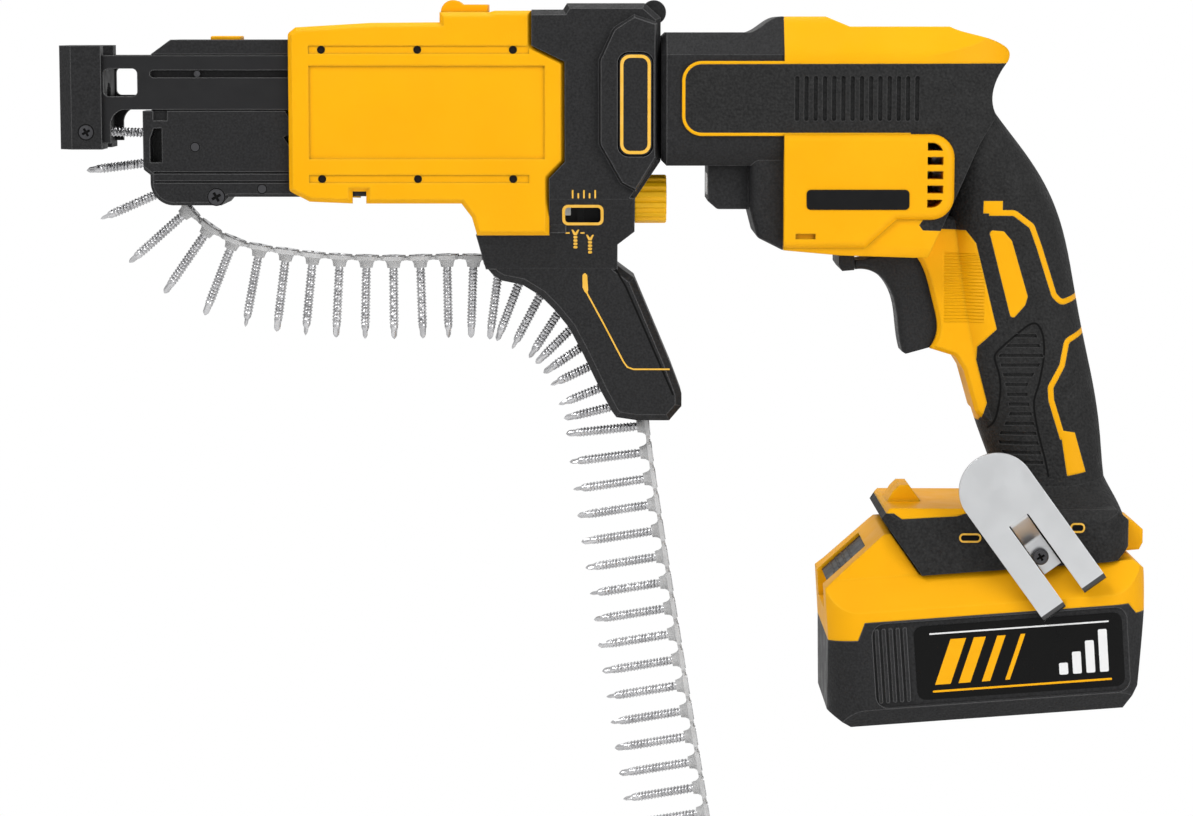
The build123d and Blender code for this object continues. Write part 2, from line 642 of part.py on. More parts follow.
# Housing halves: the outer form less the grip skin and the rooms for what sits inside
HOOK_SCREW = (5.9, -79.4)
BODY_SCREWS = [
    (-84, 118, 20), (-50, 112, 22), (-86, 44, 24), (-52, 43, 24), (-14, 66, 18),
    (8, 40, 13), (22, -38, 12), (-9, -20, 12), (-41, -70, 25), (35, -72, 22),
]
SCREW_R, SCREW_HEAD_R, SCREW_HEAD, SCREW_REACH = 1.6, 3.2, 2.2, 8.0
HOOK_SCREW_R, HOOK_SCREW_IN = 2.0, 9.0

with BuildPart() as housing_room:
    add(turned(SEAM_X, MOTOR_Z, [(-32 - SEAM_X, STATOR_R + SEAT, 0)]))
    add(turned(SEAM_X, DRIVE_Z, [(7, SPINDLE_R + 1, 0)]))
    add(turned(-33, MOTOR_Z, [(4, SHAFT_R + 1, 0)]))
    add(turned(MOTOR_REAR_BEARING[0], MOTOR_Z, [(MOTOR_REAR_BEARING[1], MOTOR_REAR_BEARING[2] + SEAT, 0)]))
    add(box(SWITCH_BOX))
    add(box((-52, SWITCH_BOX[0] + 1, -4.2, 35.1, TRIGGER_HALF + 0.4)))
    add(box(BOARD_BOX))
    add(box(CONTACT_BOX))
    add(box((-3, 9, -71, -11, 4)))
    add(box((-20, -8, 29, 60, 4)))
    add(box((-70, -66, 30, 41.4, 12 + REVERSE_TRAVEL + FIT)))
    add(rail_room.part)

with BuildPart() as foot_tabs:
    with BuildSketch(side()):
        Polygon((38, -81.2), (47.6, -80.3), (49, -77.6), (49, -72.4), (45, -69), (38, -66.2), align=None)
    extrude(amount=11)
    with BuildSketch(side()):
        Polygon((-51, -62), (-48.4, -57.6), (-46, -55.2), (-42.4, -55.2), (-37.4, -62), (-42, -66),
                (-50, -66), align=None)
    extrude(amount=9)

with BuildPart() as housing_left:
    add(near_outer)
    add(skin_room.part, mode=Mode.SUBTRACT)
    add(foot_tabs.part)
    add(housing_room.part, mode=Mode.SUBTRACT)
    with BuildSketch(side(STATOR_R - 6)):
        with Locations((-35.7, 66.5)):
            Rectangle(6, 24.6)
            fillet(vertices().group_by(Axis.X)[-1], 4.4)
        for count in range(4):
            with Locations((-35.7, 74.6 - 5.4 * count)):
                Rectangle(8, 2.4, mode=Mode.SUBTRACT)
    extrude(amount=20, mode=Mode.SUBTRACT)
    with BuildSketch(side(PAD_HALF)):
        Polygon((-88.6, 42.2), (-81, 42.2), (-81, 44.2), (-88.6, 44.2), align=None)
    extrude(amount=-1.5, mode=Mode.SUBTRACT)

# Magazine: chassis halves with the strip boot, side covers, release buttons and depth stop
COVER_IN, COVER_OUT = 21.4, 24.0
ARM_IN = 19.2
COLLAR_HALF, RIDGE_HALF = 25.0, 29.0
BOOT_HALF, CHANNEL_HALF = 15.0, 7.0
FOLD_LOW_Z, FOLD_HIGH_Z = 30.0, 57.0
COVER_FRONT_X = -281.8
COLLAR_REAR_X = CASE_FRONT_X - FIT
COVER_EDGE = [(-189, 115.4), (-176.4, 109.3), (-176.4, 71.2), (-182.4, 65), (-182.4, 43.1)]
BUTTON_X, BUTTON_Z = -149.5, 93.2
BUTTON_WIDE, BUTTON_HIGH = 13.3, 39.3
BUTTON_TRAVEL = 2.5
KNOB_X, KNOB_Z, KNOB_R, KNOB_WIDE = -149.4, 56.0, 9.4, 12.2
STOP_X, STOP_TRAVEL, STOP_LONG = -169.4, 4.0, 23.4
WINDOW = (-177.0, -162.0, 47.3, 54.5)
BOOT_OUTLINE = [
    (-210.6, 43.1), (-207.8, 31.3), (-204, 26.8), (-200.9, 25), (-193, 23.4), (-186, 19.1), (-180.6, 13.7),
    (-174.9, 6.7), (-169.4, -3.7), (-162.5, -18.1), (-158.3, -25.9), (-156.6, -28.2), (-148.6, -29.4),
    (-136.1, -29.4),
    (-131.3, -23.8), (-131.3, -18.9), (-135.4, -7.9), (-149.7, 26.1), (-156.2, 30.9), (-156.2, 43.1),
]

with BuildPart() as shoulder:
    with BuildSketch(side()):
        Polygon((-207, FOLD_LOW_Z - 0.5), (-210.6, 43.1), (-182.4, 43.1), (-182.4, FOLD_HIGH_Z + 0.5),
                (-149.7, FOLD_HIGH_Z + 0.5), (-149.7, 44.4), (-156.2, 39.3), (-156.2, FOLD_LOW_Z - 0.5),
                align=None)
    extrude(amount=COLLAR_HALF)
    with BuildSketch(across(-215)):
        Polygon((1, 20), (-BOOT_HALF, 20), (-BOOT_HALF, FOLD_LOW_Z), (-COLLAR_HALF, FOLD_HIGH_Z),
                (-COLLAR_HALF, 70),
                (1, 70), align=None)
    extrude(amount=70, mode=Mode.INTERSECT)

with BuildPart() as chassis_left:
    with BuildSketch(side()):
        Polygon(*COVER_EDGE[:4], (-182.4, FOLD_HIGH_Z), (-149.7, FOLD_HIGH_Z), (COLLAR_REAR_X, 71.5),
                (COLLAR_REAR_X, 126), (-146, 131.4), (-175.5, 131.4), (-177, 129), (-189, 129), align=None)
    extrude(amount=COLLAR_HALF)
    chamfer(chassis_left.edges().filter_by(lambda e: abs(e.center().Y + COLLAR_HALF) < 0.05 and (
        e.center().Z > 126 or e.center().X > -157)), 2)
    with BuildSketch(side(COLLAR_HALF)):
        Polygon((-163.5, 78), (-163.5, 110), (-158, 122), (-150, 127), (-141.2, 124), (-141.2, 73),
                (-149.2, 60),
                (-155, 63), align=None)
        fillet(vertices().group_by(Axis.X)[:2], 4)
    extrude(amount=RIDGE_HALF - COLLAR_HALF, taper=12)
    with BuildSketch(side()):
        Polygon((-176, 44), (-208, 44), (-208, 55), (-189, 55), (-189, 120), (-176, 120), align=None)
    extrude(amount=COVER_IN)
    with BuildSketch(side(ARM_IN)):
        Polygon((-185, 58), (-278, 58), (-278, 119), (-185, 119), align=None)
    extrude(amount=COVER_IN - ARM_IN)
    with BuildSketch(side()):
        Polygon(*BOOT_OUTLINE, align=None)
    extrude(amount=BOOT_HALF)
    boot_rim = chassis_left.edges().filter_by(lambda e: abs(e.center().Y + BOOT_HALF) < 0.05)
    chamfer(boot_rim.filter_by(lambda e: e.center().Z < 40), 2.5)
    add(shoulder.part)
    with BuildSketch(side(6)):
        with Locations((-142.2, 128)):
            Circle(4.7)
    extrude(amount=-6)
    with BuildSketch(side()):
        Polygon((-212, 38.6), (-205, 38.6), (-190, 35), (-181, 31), (-170.3, 24.9), (-162, 18), (-154.5, 9.5),
                (-149, -0.5), (-144.5, -10.8), (-141, -21), (-138.5, -40), (-160, -60), (-230, -60),
                (-230, 38.6),
                align=None)
    extrude(amount=CHANNEL_HALF, mode=Mode.SUBTRACT)
    with BuildSketch(across(CASE_FRONT_X, DRIVE_Z)):
        Circle(SPIGOT_R + FIT / 2)
    extrude(amount=-SPIGOT_LONG - 1, mode=Mode.SUBTRACT)
    with BuildSketch(across(-155, DRIVE_Z)):
        Circle(9.5)
    extrude(amount=-13, mode=Mode.SUBTRACT)
    with BuildSketch(across(-155, DRIVE_Z)):
        Circle(5.5)
    extrude(amount=-60, mode=Mode.SUBTRACT)
    with BuildSketch(side(RIDGE_HALF + 1)):
        with Locations((BUTTON_X, BUTTON_Z)):
            RectangleRounded(BUTTON_WIDE + FIT, BUTTON_HIGH + FIT, 4.3)
    extrude(amount=-8.6, mode=Mode.SUBTRACT)
    with BuildSketch(side(40)):
        x0, x1, z0, z1 = WINDOW
        with Locations(((x0 + x1) / 2, (z0 + z1) / 2)):
            RectangleRounded(x1 - x0, z1 - z0, 1.6)
    extrude(amount=-40, mode=Mode.SUBTRACT)
    with BuildSketch(across(KNOB_X + 2, KNOB_Z)):
        Circle(2.5 + FIT)
    extrude(amount=-38, mode=Mode.SUBTRACT)
    with BuildSketch(across(KNOB_X - FIT, KNOB_Z)):
        Circle(KNOB_R + 0.6)
    extrude(amount=20, mode=Mode.SUBTRACT)
    with BuildSketch(side()):
        room = STOP_LONG / 2 + STOP_TRAVEL + FIT
        Polygon((STOP_X - room, 45.5), (STOP_X + room, 45.5), (STOP_X + room, 62), (STOP_X - room, 62),
                align=None)
    extrude(amount=16.4, mode=Mode.SUBTRACT)


BUMP_X = -219.4
HOLE_COLUMNS = (-269.1, -232.5, -196.1)
HOLE_ROWS = (113.8, 64.7)
COVER_SCREW_R, COVER_HEAD_R = 0.9, 1.45
TOP_IN_Z = 119.8

with BuildPart() as cover_left:
    with BuildSketch(side()):
        Polygon((COVER_FRONT_X, 60), (COVER_FRONT_X, 120), (COVER_FRONT_X + 3, 122.3), (-250, 124),
                (-224, 124.2), (-224, 128),
                (-205, 128), (-203, 128.6), (-190, 128.6), (-189, 128.6), *COVER_EDGE, (-210, 43.1),
                (-212, 50),
                (-216, 55.3), (-252.4, 55.3), (-252.4, 59.9), (-257.6, 59.9), (-257.6, 55.3), (-274, 56),
                align=None)
        fillet(vertices().group_by(Axis.X)[0], 2)
    extrude(amount=COVER_OUT)
    with BuildSketch(side(10)):
        with Locations((BUMP_X, 128)):
            Circle(4.7)
        Polygon((BUMP_X, 120), (-206, 120), (-206, 131), (BUMP_X, 131), align=None)
    extrude(amount=-10)
    chamfer(cover_left.edges().filter_by(lambda e: abs(e.center().Y + COVER_OUT) < 0.05), 1.6)
    with BuildSketch(side()):
        Polygon((-190, 30), (-300, 30), (-300, TOP_IN_Z), (-190, TOP_IN_Z), align=None)
    extrude(amount=ARM_IN, mode=Mode.SUBTRACT)
    with BuildSketch(side()):
        Polygon((-170, 30), (-278, 30), (-278, 119), (-189, 119), (-189, 135), (-170, 135), align=None)
    extrude(amount=COVER_IN, mode=Mode.SUBTRACT)
    with BuildSketch(side(COVER_OUT)):
        Polygon((-274, 72.2), (-184, 72.2), (-184, 107.8), (-274, 107.8), align=None)
    extrude(amount=-0.9, taper=20, mode=Mode.SUBTRACT)
    with BuildSketch(side(COVER_OUT)):
        for row in HOLE_ROWS:
            with Locations((-232, row)):
                Rectangle(84, 3)
    extrude(amount=-0.5, mode=Mode.SUBTRACT)
    with BuildSketch(side(COVER_OUT)):
        for x in HOLE_COLUMNS:
            for z in HOLE_ROWS:
                with Locations((x, z)):
                    Circle(COVER_HEAD_R + SEAT)
    extrude(amount=-(COVER_OUT - COVER_IN), mode=Mode.SUBTRACT)

with BuildPart() as cover_screws:
    for way in (1, -1):
        for x in HOLE_COLUMNS:
            for z in HOLE_ROWS:
                with BuildSketch(side(way * (COVER_OUT - 1.0))):
                    with Locations((x, z)):
                        Circle(COVER_HEAD_R)
                extrude(amount=-way * (COVER_OUT - COVER_IN - 1.0))

with BuildPart() as release_left:
    with BuildSketch(side(RIDGE_HALF - 4.6)):
        with Locations((BUTTON_X, BUTTON_Z)):
            RectangleRounded(BUTTON_WIDE, BUTTON_HIGH, 4.3)
    extrude(amount=4.4)
    fillet(release_left.faces().sort_by(Axis.Y)[0].edges(), 1)

with BuildPart() as depth_knob:
    with BuildSketch(across(KNOB_X, KNOB_Z)):
        Circle(KNOB_R)
        with PolarLocations(KNOB_R + 0.5, 14):
            Circle(1.3, mode=Mode.SUBTRACT)
    extrude(amount=KNOB_WIDE)
    chamfer(depth_knob.faces().sort_by(Axis.X)[-1].edges(), 0.5)
    with BuildSketch(across(KNOB_X, KNOB_Z)):
        Circle(2.5)
    extrude(amount=-34)

with BuildPart() as depth_pointer:
    with BuildSketch(side(16)):
        half = STOP_LONG / 2
        Polygon((STOP_X - half, 46), (STOP_X + half, 46), (STOP_X + half, 61.5), (STOP_X - half, 61.5),
                align=None)
    extrude(amount=-32)
    with BuildSketch(across(STOP_X - STOP_LONG, KNOB_Z)):
        Circle(2.5 + FIT)
    extrude(amount=2 * STOP_LONG, mode=Mode.SUBTRACT)
    with BuildSketch(side(16)):
        Polygon((STOP_X - 2.4, 47.9), (STOP_X + 0.2, 47.9), (STOP_X + 0.2, 53.9), (STOP_X - 2.4, 53.9),
                align=None)
    extrude(amount=1.5)
    with BuildSketch(side(-16)):
        Polygon((STOP_X - 2.4, 47.9), (STOP_X + 0.2, 47.9), (STOP_X + 0.2, 53.9), (STOP_X - 2.4, 53.9),
                align=None)
    extrude(amount=-1.5)

# Feeder: two halves that carry the strip to the drive axis, the feed wheel and its lever
FEED_STROKE = 45.0
FEED_FRONT_X, FEED_REAR_X = -338.0, -262.0
BLOCK_HALF, WAIST_HALF, RAIL_TOP_HALF = 18.5, 16.0, 18.5
WAIST_LOW, WAIST_HIGH = 90.5, 112.0
PLATE_OUT = 18.5
PLATE_FIT = 0.25
STRIP_X = -331.0
WHEEL_X, WHEEL_Z = -318.1, 76.7
WHEEL_R = 11.5
PIN_R = 1.7
LOW_PIN = (-292.6, 60.7)
BOSS_SCREW = (-310.2, 57.6)
GUIDE_SCREW = (-317.0, 104.6)
LEVER_Y, LEVER_THICK = 8.0, 3.0
LEVER_TURN = 24.0
NOSE_BUTTON = (-313.0, -301.4, 119.0, 6.0)

with BuildPart() as feeder_left:
    with BuildSketch(side()):
        with BuildLine():
            Polyline((FEED_FRONT_X, WAIST_LOW), (FEED_FRONT_X, 68), (-335.5, 66), (-335.5, 63.4))
            ThreePointArc((-335.5, 63.4), (-333, 57), (-327, 54.3))
            Polyline((-327, 54.3), (-308.4, 54.3), (-305.5, 57.6), (FEED_REAR_X, 57.6),
                     (FEED_REAR_X, WAIST_LOW))
            Line((FEED_REAR_X, WAIST_LOW), (FEED_FRONT_X, WAIST_LOW))
        make_face()
    extrude(amount=BLOCK_HALF)
    chamfer(feeder_left.edges().filter_by(lambda e: abs(e.center().Y + BLOCK_HALF) < 0.05 and e.center().Z < 70), 1.2)
    with BuildSketch(side()):
        Polygon((-334.7, WAIST_LOW), (FEED_REAR_X, WAIST_LOW), (FEED_REAR_X, WAIST_HIGH),
                (-334.7, WAIST_HIGH), align=None)
    extrude(amount=WAIST_HALF)
    with BuildSketch(side()):
        Polygon((-334.7, WAIST_HIGH), (FEED_REAR_X, WAIST_HIGH), (FEED_REAR_X, 117.6), (-327, 117.6),
                align=None)
    extrude(amount=RAIL_TOP_HALF)
    with BuildSketch(side(BLOCK_HALF)):
        for z in (66.5, 63):
            Polygon((-334, z), (-270, z), (-270, z + 0.7), (-334, z + 0.7), align=None)
        Polygon((-334, 86.8), (-328.6, 86.8), (-328.6, 90.5), (-334, 90.5), align=None)
    extrude(amount=-1.2, mode=Mode.SUBTRACT)
    with BuildSketch(side(BLOCK_HALF)):
        Polygon((-335.3, 70.8), (-330.8, 70.8), (-330.8, 83.9), (-333.8, 83.9), (-335.3, 80), align=None)
    extrude(amount=-7, mode=Mode.SUBTRACT)
    with BuildSketch(side(BLOCK_HALF + 1)):
        Polygon((-283.5, 90.6), (-279.4, 82.5), (-284.2, 80.5), (-280, 74), (-268, 74), (-268, 90.6),
                align=None)
    extrude(amount=-30, mode=Mode.SUBTRACT)
    # Room for the strip, the bit, the wheel and the lever
    with BuildSketch(side()):
        Polygon((-345, 102), (-326.4, 102), (-326.4, 66), (-322, 58), (-314, 50), (-345, 50), align=None)
    extrude(amount=CHANNEL_HALF, mode=Mode.SUBTRACT)
    with BuildSketch(across(-345, DRIVE_Z)):
        Circle(5)
    extrude(amount=100, mode=Mode.SUBTRACT)
    with BuildSketch(side()):
        with Locations((WHEEL_X, WHEEL_Z)):
            Circle(WHEEL_R + 0.8)
    extrude(amount=5, mode=Mode.SUBTRACT)
    with BuildSketch(side(LEVER_Y + LEVER_THICK + FIT)):
        Polygon((-326, 68), (-300, 62), (-262, 62), (-262, 108), (-300, 100), (-326, 86), align=None)
    extrude(amount=-(LEVER_THICK + 2 * FIT), mode=Mode.SUBTRACT)
    x0, x1, top, half = NOSE_BUTTON
    with BuildSketch(side()):
        Polygon((x0 - FIT / 2, 111.6), (x1 + FIT / 2, 111.6), (x1 + FIT / 2, 125), (x0 - FIT / 2, 125),
                align=None)
    extrude(amount=half + FIT / 2, mode=Mode.SUBTRACT)
    add(pegs([(WHEEL_X, WHEEL_Z), LOW_PIN], PIN_R + SEAT, BLOCK_HALF, BLOCK_HALF), mode=Mode.SUBTRACT)
    add(pegs([BOSS_SCREW], 1.4 + SEAT, BLOCK_HALF, BLOCK_HALF), mode=Mode.SUBTRACT)
    add(pegs([BOSS_SCREW], 3.2 + SEAT, BLOCK_HALF, 2), mode=Mode.SUBTRACT)
    add(pegs([GUIDE_SCREW], 1.2 + SEAT, WAIST_HALF, WAIST_HALF), mode=Mode.SUBTRACT)

with BuildPart() as feeder_pins:
    add(pegs([(WHEEL_X, WHEEL_Z), LOW_PIN], PIN_R, BLOCK_HALF, 2 * BLOCK_HALF))

with BuildPart() as feeder_screws:
    add(pegs([BOSS_SCREW], 1.4, BLOCK_HALF, 2 * BLOCK_HALF))
    for way in (1, -1):
        add(pegs([BOSS_SCREW], 3.2, BLOCK_HALF, 2, way))
    add(pegs([GUIDE_SCREW], 1.2, PLATE_OUT - 0.3, 2 * PLATE_OUT - 0.6))

with BuildPart() as feed_wheel:
    with BuildSketch(side(4.6)):
        with Locations((WHEEL_X, WHEEL_Z)):
            Circle(WHEEL_R - 3)
            with PolarLocations(0, 7):
                Polygon((0, -2.4), (WHEEL_R, -0.9), (WHEEL_R, 0.9), (0, 2.4), align=None)
            Circle(PIN_R + SEAT, mode=Mode.SUBTRACT)
    extrude(amount=-9.2)

LEVER_TIP = (-284.0, 82.0)
with BuildPart() as feed_lever:
    with BuildSketch(side(LEVER_Y)):
        with Locations((WHEEL_X, WHEEL_Z)):
            Circle(4.6)
        with Locations(LEVER_TIP):
            Circle(3.2)
        with BuildLine():
            Line((WHEEL_X, WHEEL_Z), LEVER_TIP)
        trace(line_width=5)
        with Locations((WHEEL_X, WHEEL_Z)):
            Circle(PIN_R + FIT, mode=Mode.SUBTRACT)
    extrude(amount=LEVER_THICK)

with BuildPart() as nose_button:
    x0, x1, top, half = NOSE_BUTTON
    with BuildSketch(side(half)):
        Polygon((x0, 113.4), (x1, 113.4), (x1, top), (x0, top), align=None)
    extrude(amount=-2 * half)
    fillet(nose_button.faces().sort_by(Axis.Z)[-1].edges(), 0.6)


NOSE_SCREW = (-359.5, 82.4)
with BuildPart() as nose_plate_left:
    with BuildSketch(side(WAIST_HALF + PLATE_FIT)):
        with BuildLine():
            Polyline((-364, 78.2), (-350.3, 78.2), (-350.3, 85))
            ThreePointArc((-350.3, 85), (-348.8, 89.2), (-344.5, 91))
            Polyline((-344.5, 91), (-266, 91), (-266, 111.6), (-364, 111.6), (-364, 78.2))
        make_face()
        with Locations((-346.4, 101.3)):
            RectangleRounded(13, 10.6, 2, mode=Mode.SUBTRACT)
        with Locations((-302.5, 104.6)):
            SlotOverall(65, 2.8, mode=Mode.SUBTRACT)
        with Locations(NOSE_SCREW):
            Circle(1.3 + SEAT, mode=Mode.SUBTRACT)
    extrude(amount=PLATE_OUT - WAIST_HALF - PLATE_FIT)

NOSE_HALF, MOUTH_HALF = 20.5, 5.6
NOSE_FACE_X, NOSE_BACK_X = -370.0, -353.4
with BuildPart() as nose_cap:
    with BuildSketch(Plane.XY.offset(75.8)):
        Polygon((NOSE_BACK_X, -NOSE_HALF), (NOSE_BACK_X, NOSE_HALF), (NOSE_FACE_X + 5, NOSE_HALF),
                (NOSE_FACE_X, NOSE_HALF - 5), (NOSE_FACE_X, 5 - NOSE_HALF), (NOSE_FACE_X + 5, -NOSE_HALF),
                align=None)
    extrude(amount=39.6)
    with BuildSketch(side(14)):
        Polygon((-363, 106), (NOSE_BACK_X + 1, 106), (NOSE_BACK_X + 1, 120), (-363, 120), align=None)
    extrude(amount=-28, mode=Mode.SUBTRACT)
    with BuildSketch(across(-375)):
        Polygon((-MOUTH_HALF, 70), (MOUTH_HALF, 70), (MOUTH_HALF, DRIVE_Z), (-MOUTH_HALF, DRIVE_Z),
                align=None)
        with Locations((0, DRIVE_Z)):
            Circle(MOUTH_HALF)
    extrude(amount=30, mode=Mode.SUBTRACT)
    for way in (1, -1):
        with BuildSketch(side(way * (WAIST_HALF + PLATE_FIT))):
            Polygon((-364, 78.2), (-350, 78.2), (-350, 111.6), (-364, 111.6), align=None)
        extrude(amount=way * (PLATE_OUT - WAIST_HALF - PLATE_FIT), mode=Mode.SUBTRACT)
        add(pegs([NOSE_SCREW], 2.8 + SEAT, NOSE_HALF, NOSE_HALF - PLATE_OUT, way), mode=Mode.SUBTRACT)
        add(pegs([NOSE_SCREW], 1.3 + SEAT, NOSE_HALF, 10, way), mode=Mode.SUBTRACT)

with BuildPart() as nose_screws:
    for way in (1, -1):
        add(pegs([NOSE_SCREW], 2.8, NOSE_HALF - 0.4, NOSE_HALF - PLATE_OUT - 0.4, way))
        add(pegs([NOSE_SCREW], 1.3, NOSE_HALF - 1, 9, way))

# Strip: a plastic band on a curved path, and the screws it holds
PITCH = 10.44
STRIP_LAG = 3.6
BAND_HALF, BAND_THICK = 6.25, 1.6
HEAD_R, STRIP_SHANK_R, STRIP_SCREW_LONG = 4.0, 1.95, 33.0
PATH = [
    (-331, 100.6), (-331, 85), (-331, 74), (-328.2, 61.3), (-323, 52.9), (-315.3, 45.8), (-305.2, 40.2),
    (-294.9, 37.4), (-284.3, 35.8), (-274.5, 34.6), (-262, 33.7), (-240, 33.3), (-205, 33.2), (-191.2, 30.2),
    (-183.3, 26.2), (-173.3, 20.7), (-165.9, 14.8), (-159, 6.6), (-153.5, -2.7), (-149.4, -12.3),
    (-145.9, -22.2),
    (-144.2, -33.7), (-140.2, -63), (-122, -177), (-114.8, -222),
]
with BuildLine(side()) as strip_line:
    Spline(*PATH)
path_edge = strip_line.edges()[0]


def strip_at(along):
    """Point, tangent and screw direction in the side view at a length along the strip."""
    point = path_edge.position_at(along, position_mode=PositionMode.LENGTH)
    way = path_edge.tangent_at(along, position_mode=PositionMode.LENGTH)
    return (point.X, point.Z), (way.X, way.Z), (way.Z, -way.X)


FIRST_ALONG = PATH[0][1] - DRIVE_Z + STRIP_LAG
STRIP_COUNT = int((path_edge.length - FIRST_ALONG - 2) / PITCH)
RUN_FROM, RUN_TO = 6, 16
SCREW_PROFILE = [(0, 0), (0, HEAD_R), (0.5, HEAD_R), (4, STRIP_SHANK_R), (27, STRIP_SHANK_R),
                 (STRIP_SCREW_LONG, 0)]
HOLE_R, HOLE_SHANK_R = HEAD_R + SEAT, STRIP_SHANK_R + SEAT
HOLE_PROFILE = [(-2, 0), (-2, HOLE_R), (0.5, HOLE_R), (4, HOLE_SHANK_R), (6, HOLE_SHANK_R), (6, 0)]


def band_piece(first, last):
    """Stretch of band that holds screws first to last, with their holes."""
    begin = FIRST_ALONG + PITCH * (first - 0.5) if first else 0.0
    end = FIRST_ALONG + PITCH * (last + 0.5)
    steps = 2 * (last - first + 1)
    rims = ([], [])
    for count in range(steps + 1):
        (x, z), way, (nx, nz) = strip_at(begin + (end - begin) * count / steps)
        for rim, sign in zip(rims, (-1, 1)):
            rim.append((x + sign * nx * BAND_THICK / 2, z + sign * nz * BAND_THICK / 2))
    with BuildPart() as band:
        with BuildSketch(side(BAND_HALF)):
            with BuildLine():
                Spline(*rims[0])
                Line(rims[0][-1], rims[1][-1])
                Spline(*rims[1])
                Line(rims[1][0], rims[0][0])
            make_face()
        extrude(amount=-2 * BAND_HALF)
        for number in range(max(first, 1), last + 1):
            with BuildSketch(screw_plane(number)):
                Polygon(*HOLE_PROFILE, align=None)
            revolve(axis=screw_axis(number), mode=Mode.SUBTRACT)
        if not first:
            with BuildSketch(across(PATH[0][0] - 5, DRIVE_Z)):
                Circle(4.3)
            extrude(amount=10, mode=Mode.SUBTRACT)
    return band.part


def screw_plane(number):
    """Plane whose x runs along strip screw number, from the top of its head to its tip."""
    (x, z), way, (nx, nz) = strip_at(FIRST_ALONG + PITCH * number)
    at = (x - nx * BAND_THICK / 2, 0, z - nz * BAND_THICK / 2)
    return Plane(origin=at, x_dir=(nx, 0, nz), z_dir=(0, -1, 0))


def screw_axis(number):
    """Axis of strip screw number."""
    plane = screw_plane(number)
    return Axis(plane.origin, plane.x_dir)


def screw_group(first, last):
    """Strip screws first to last."""
    with BuildPart() as group:
        for number in range(first, last + 1):
            with BuildSketch(screw_plane(number)):
                Polygon(*SCREW_PROFILE, align=None)
            revolve(axis=screw_axis(number))
    return group.part


with BuildPart() as strip_band_front:
    add(band_piece(0, RUN_FROM - 1))
with BuildPart() as strip_band_run:
    add(band_piece(RUN_FROM, RUN_TO - 1))
with BuildPart() as strip_band_tail:
    add(band_piece(RUN_TO, STRIP_COUNT))
with BuildPart() as strip_screws_front:
    add(screw_group(1, RUN_FROM - 1))
with BuildPart() as strip_screws_run:
    add(screw_group(RUN_FROM, RUN_TO - 1))
with BuildPart() as strip_screws_tail:
    add(screw_group(RUN_TO, STRIP_COUNT))

# Return spring around the bit
SPRING_R, WIRE_R, SPRING_TURNS = 8.2, 0.8, 9
SPRING_FROM, SPRING_TO = FEED_REAR_X, -189.0
with BuildPart() as return_spring:
    spring_pitch = (SPRING_TO - SPRING_FROM - 2 * WIRE_R) / SPRING_TURNS
    with BuildLine():
        Helix(spring_pitch, SPRING_TO - SPRING_FROM - 2 * WIRE_R, SPRING_R,
              center=(SPRING_FROM + WIRE_R, 0, DRIVE_Z), direction=(1, 0, 0))
    helix_edge = return_spring.pending_edges[0]
    with BuildSketch(Plane(origin=helix_edge @ 0, z_dir=helix_edge % 0)):
        RegularPolygon(WIRE_R, 6)
    sweep()

# Belt hook: one bent strap, its tongue screwed to the foot
HOOK_X, HOOK_Z, HOOK_LEAN = -12.0, -52.7, 54.0
HOOK_HALF, HOOK_GAP, HOOK_LONG, HOOK_THICK = 14.5, 4.4, 52.4, 1.6
HOOK_OUT = FOOT_HALF + 10.0
TONGUE_WIDE = 7.8


def hook_face(depth):
    """Plane of the hook plate, x down its length from the centre of the round end."""
    c, s = cos(radians(HOOK_LEAN)), sin(radians(HOOK_LEAN))
    return Plane(origin=(HOOK_X, -depth, HOOK_Z), x_dir=(c, 0, -s), z_dir=(0, -1, 0))


def hook_edge(w):
    """Edge-on plane of the hook at w across it: x down its length, y outwards."""
    c, s = cos(radians(HOOK_LEAN)), sin(radians(HOOK_LEAN))
    return Plane(origin=(HOOK_X + s * w, 0, HOOK_Z + c * w), x_dir=(c, 0, -s), z_dir=(-s, 0, -c))


with BuildPart() as belt_hook:
    with BuildSketch(hook_face(HOOK_OUT)):
        Circle(HOOK_HALF)
        Polygon((0, -HOOK_HALF), (45, -HOOK_HALF), (45, HOOK_HALF), (0, HOOK_HALF), align=None)
        Polygon((14, -HOOK_GAP), (60, -HOOK_GAP), (60, HOOK_GAP), (14, HOOK_GAP), align=None,
                mode=Mode.SUBTRACT)
    extrude(amount=HOOK_THICK)
    mid = HOOK_OUT + HOOK_THICK / 2
    end = HOOK_LONG - HOOK_THICK / 2
    for w in (HOOK_GAP, -HOOK_HALF):
        with BuildSketch(hook_edge(w)):
            with BuildLine():
                FilletPolyline((44, mid), (end, mid), (end, mid - 5), radius=2.4)
            trace(line_width=HOOK_THICK)
        extrude(amount=HOOK_GAP - HOOK_HALF)
    low = FOOT_HALF + HOOK_THICK / 2
    with BuildSketch(hook_edge(0)):
        with BuildLine():
            FilletPolyline((6, mid), (14, mid), (25, low), (39, low), radius=3)
        trace(line_width=HOOK_THICK)
    extrude(amount=TONGUE_WIDE / 2, both=True)
    add(pegs([HOOK_SCREW], HOOK_SCREW_R + SEAT, FOOT_HALF + 3, 4), mode=Mode.SUBTRACT)

with BuildPart() as belt_hook_screw:
    add(pegs([HOOK_SCREW], HOOK_SCREW_R, FOOT_HALF + HOOK_THICK, HOOK_THICK + HOOK_SCREW_IN))
    add(pegs([HOOK_SCREW], 3.15, FOOT_HALF + HOOK_THICK + 2.4, 2.4))
    chamfer(belt_hook_screw.faces().sort_by(Axis.Y)[0].edges(), 0.5)

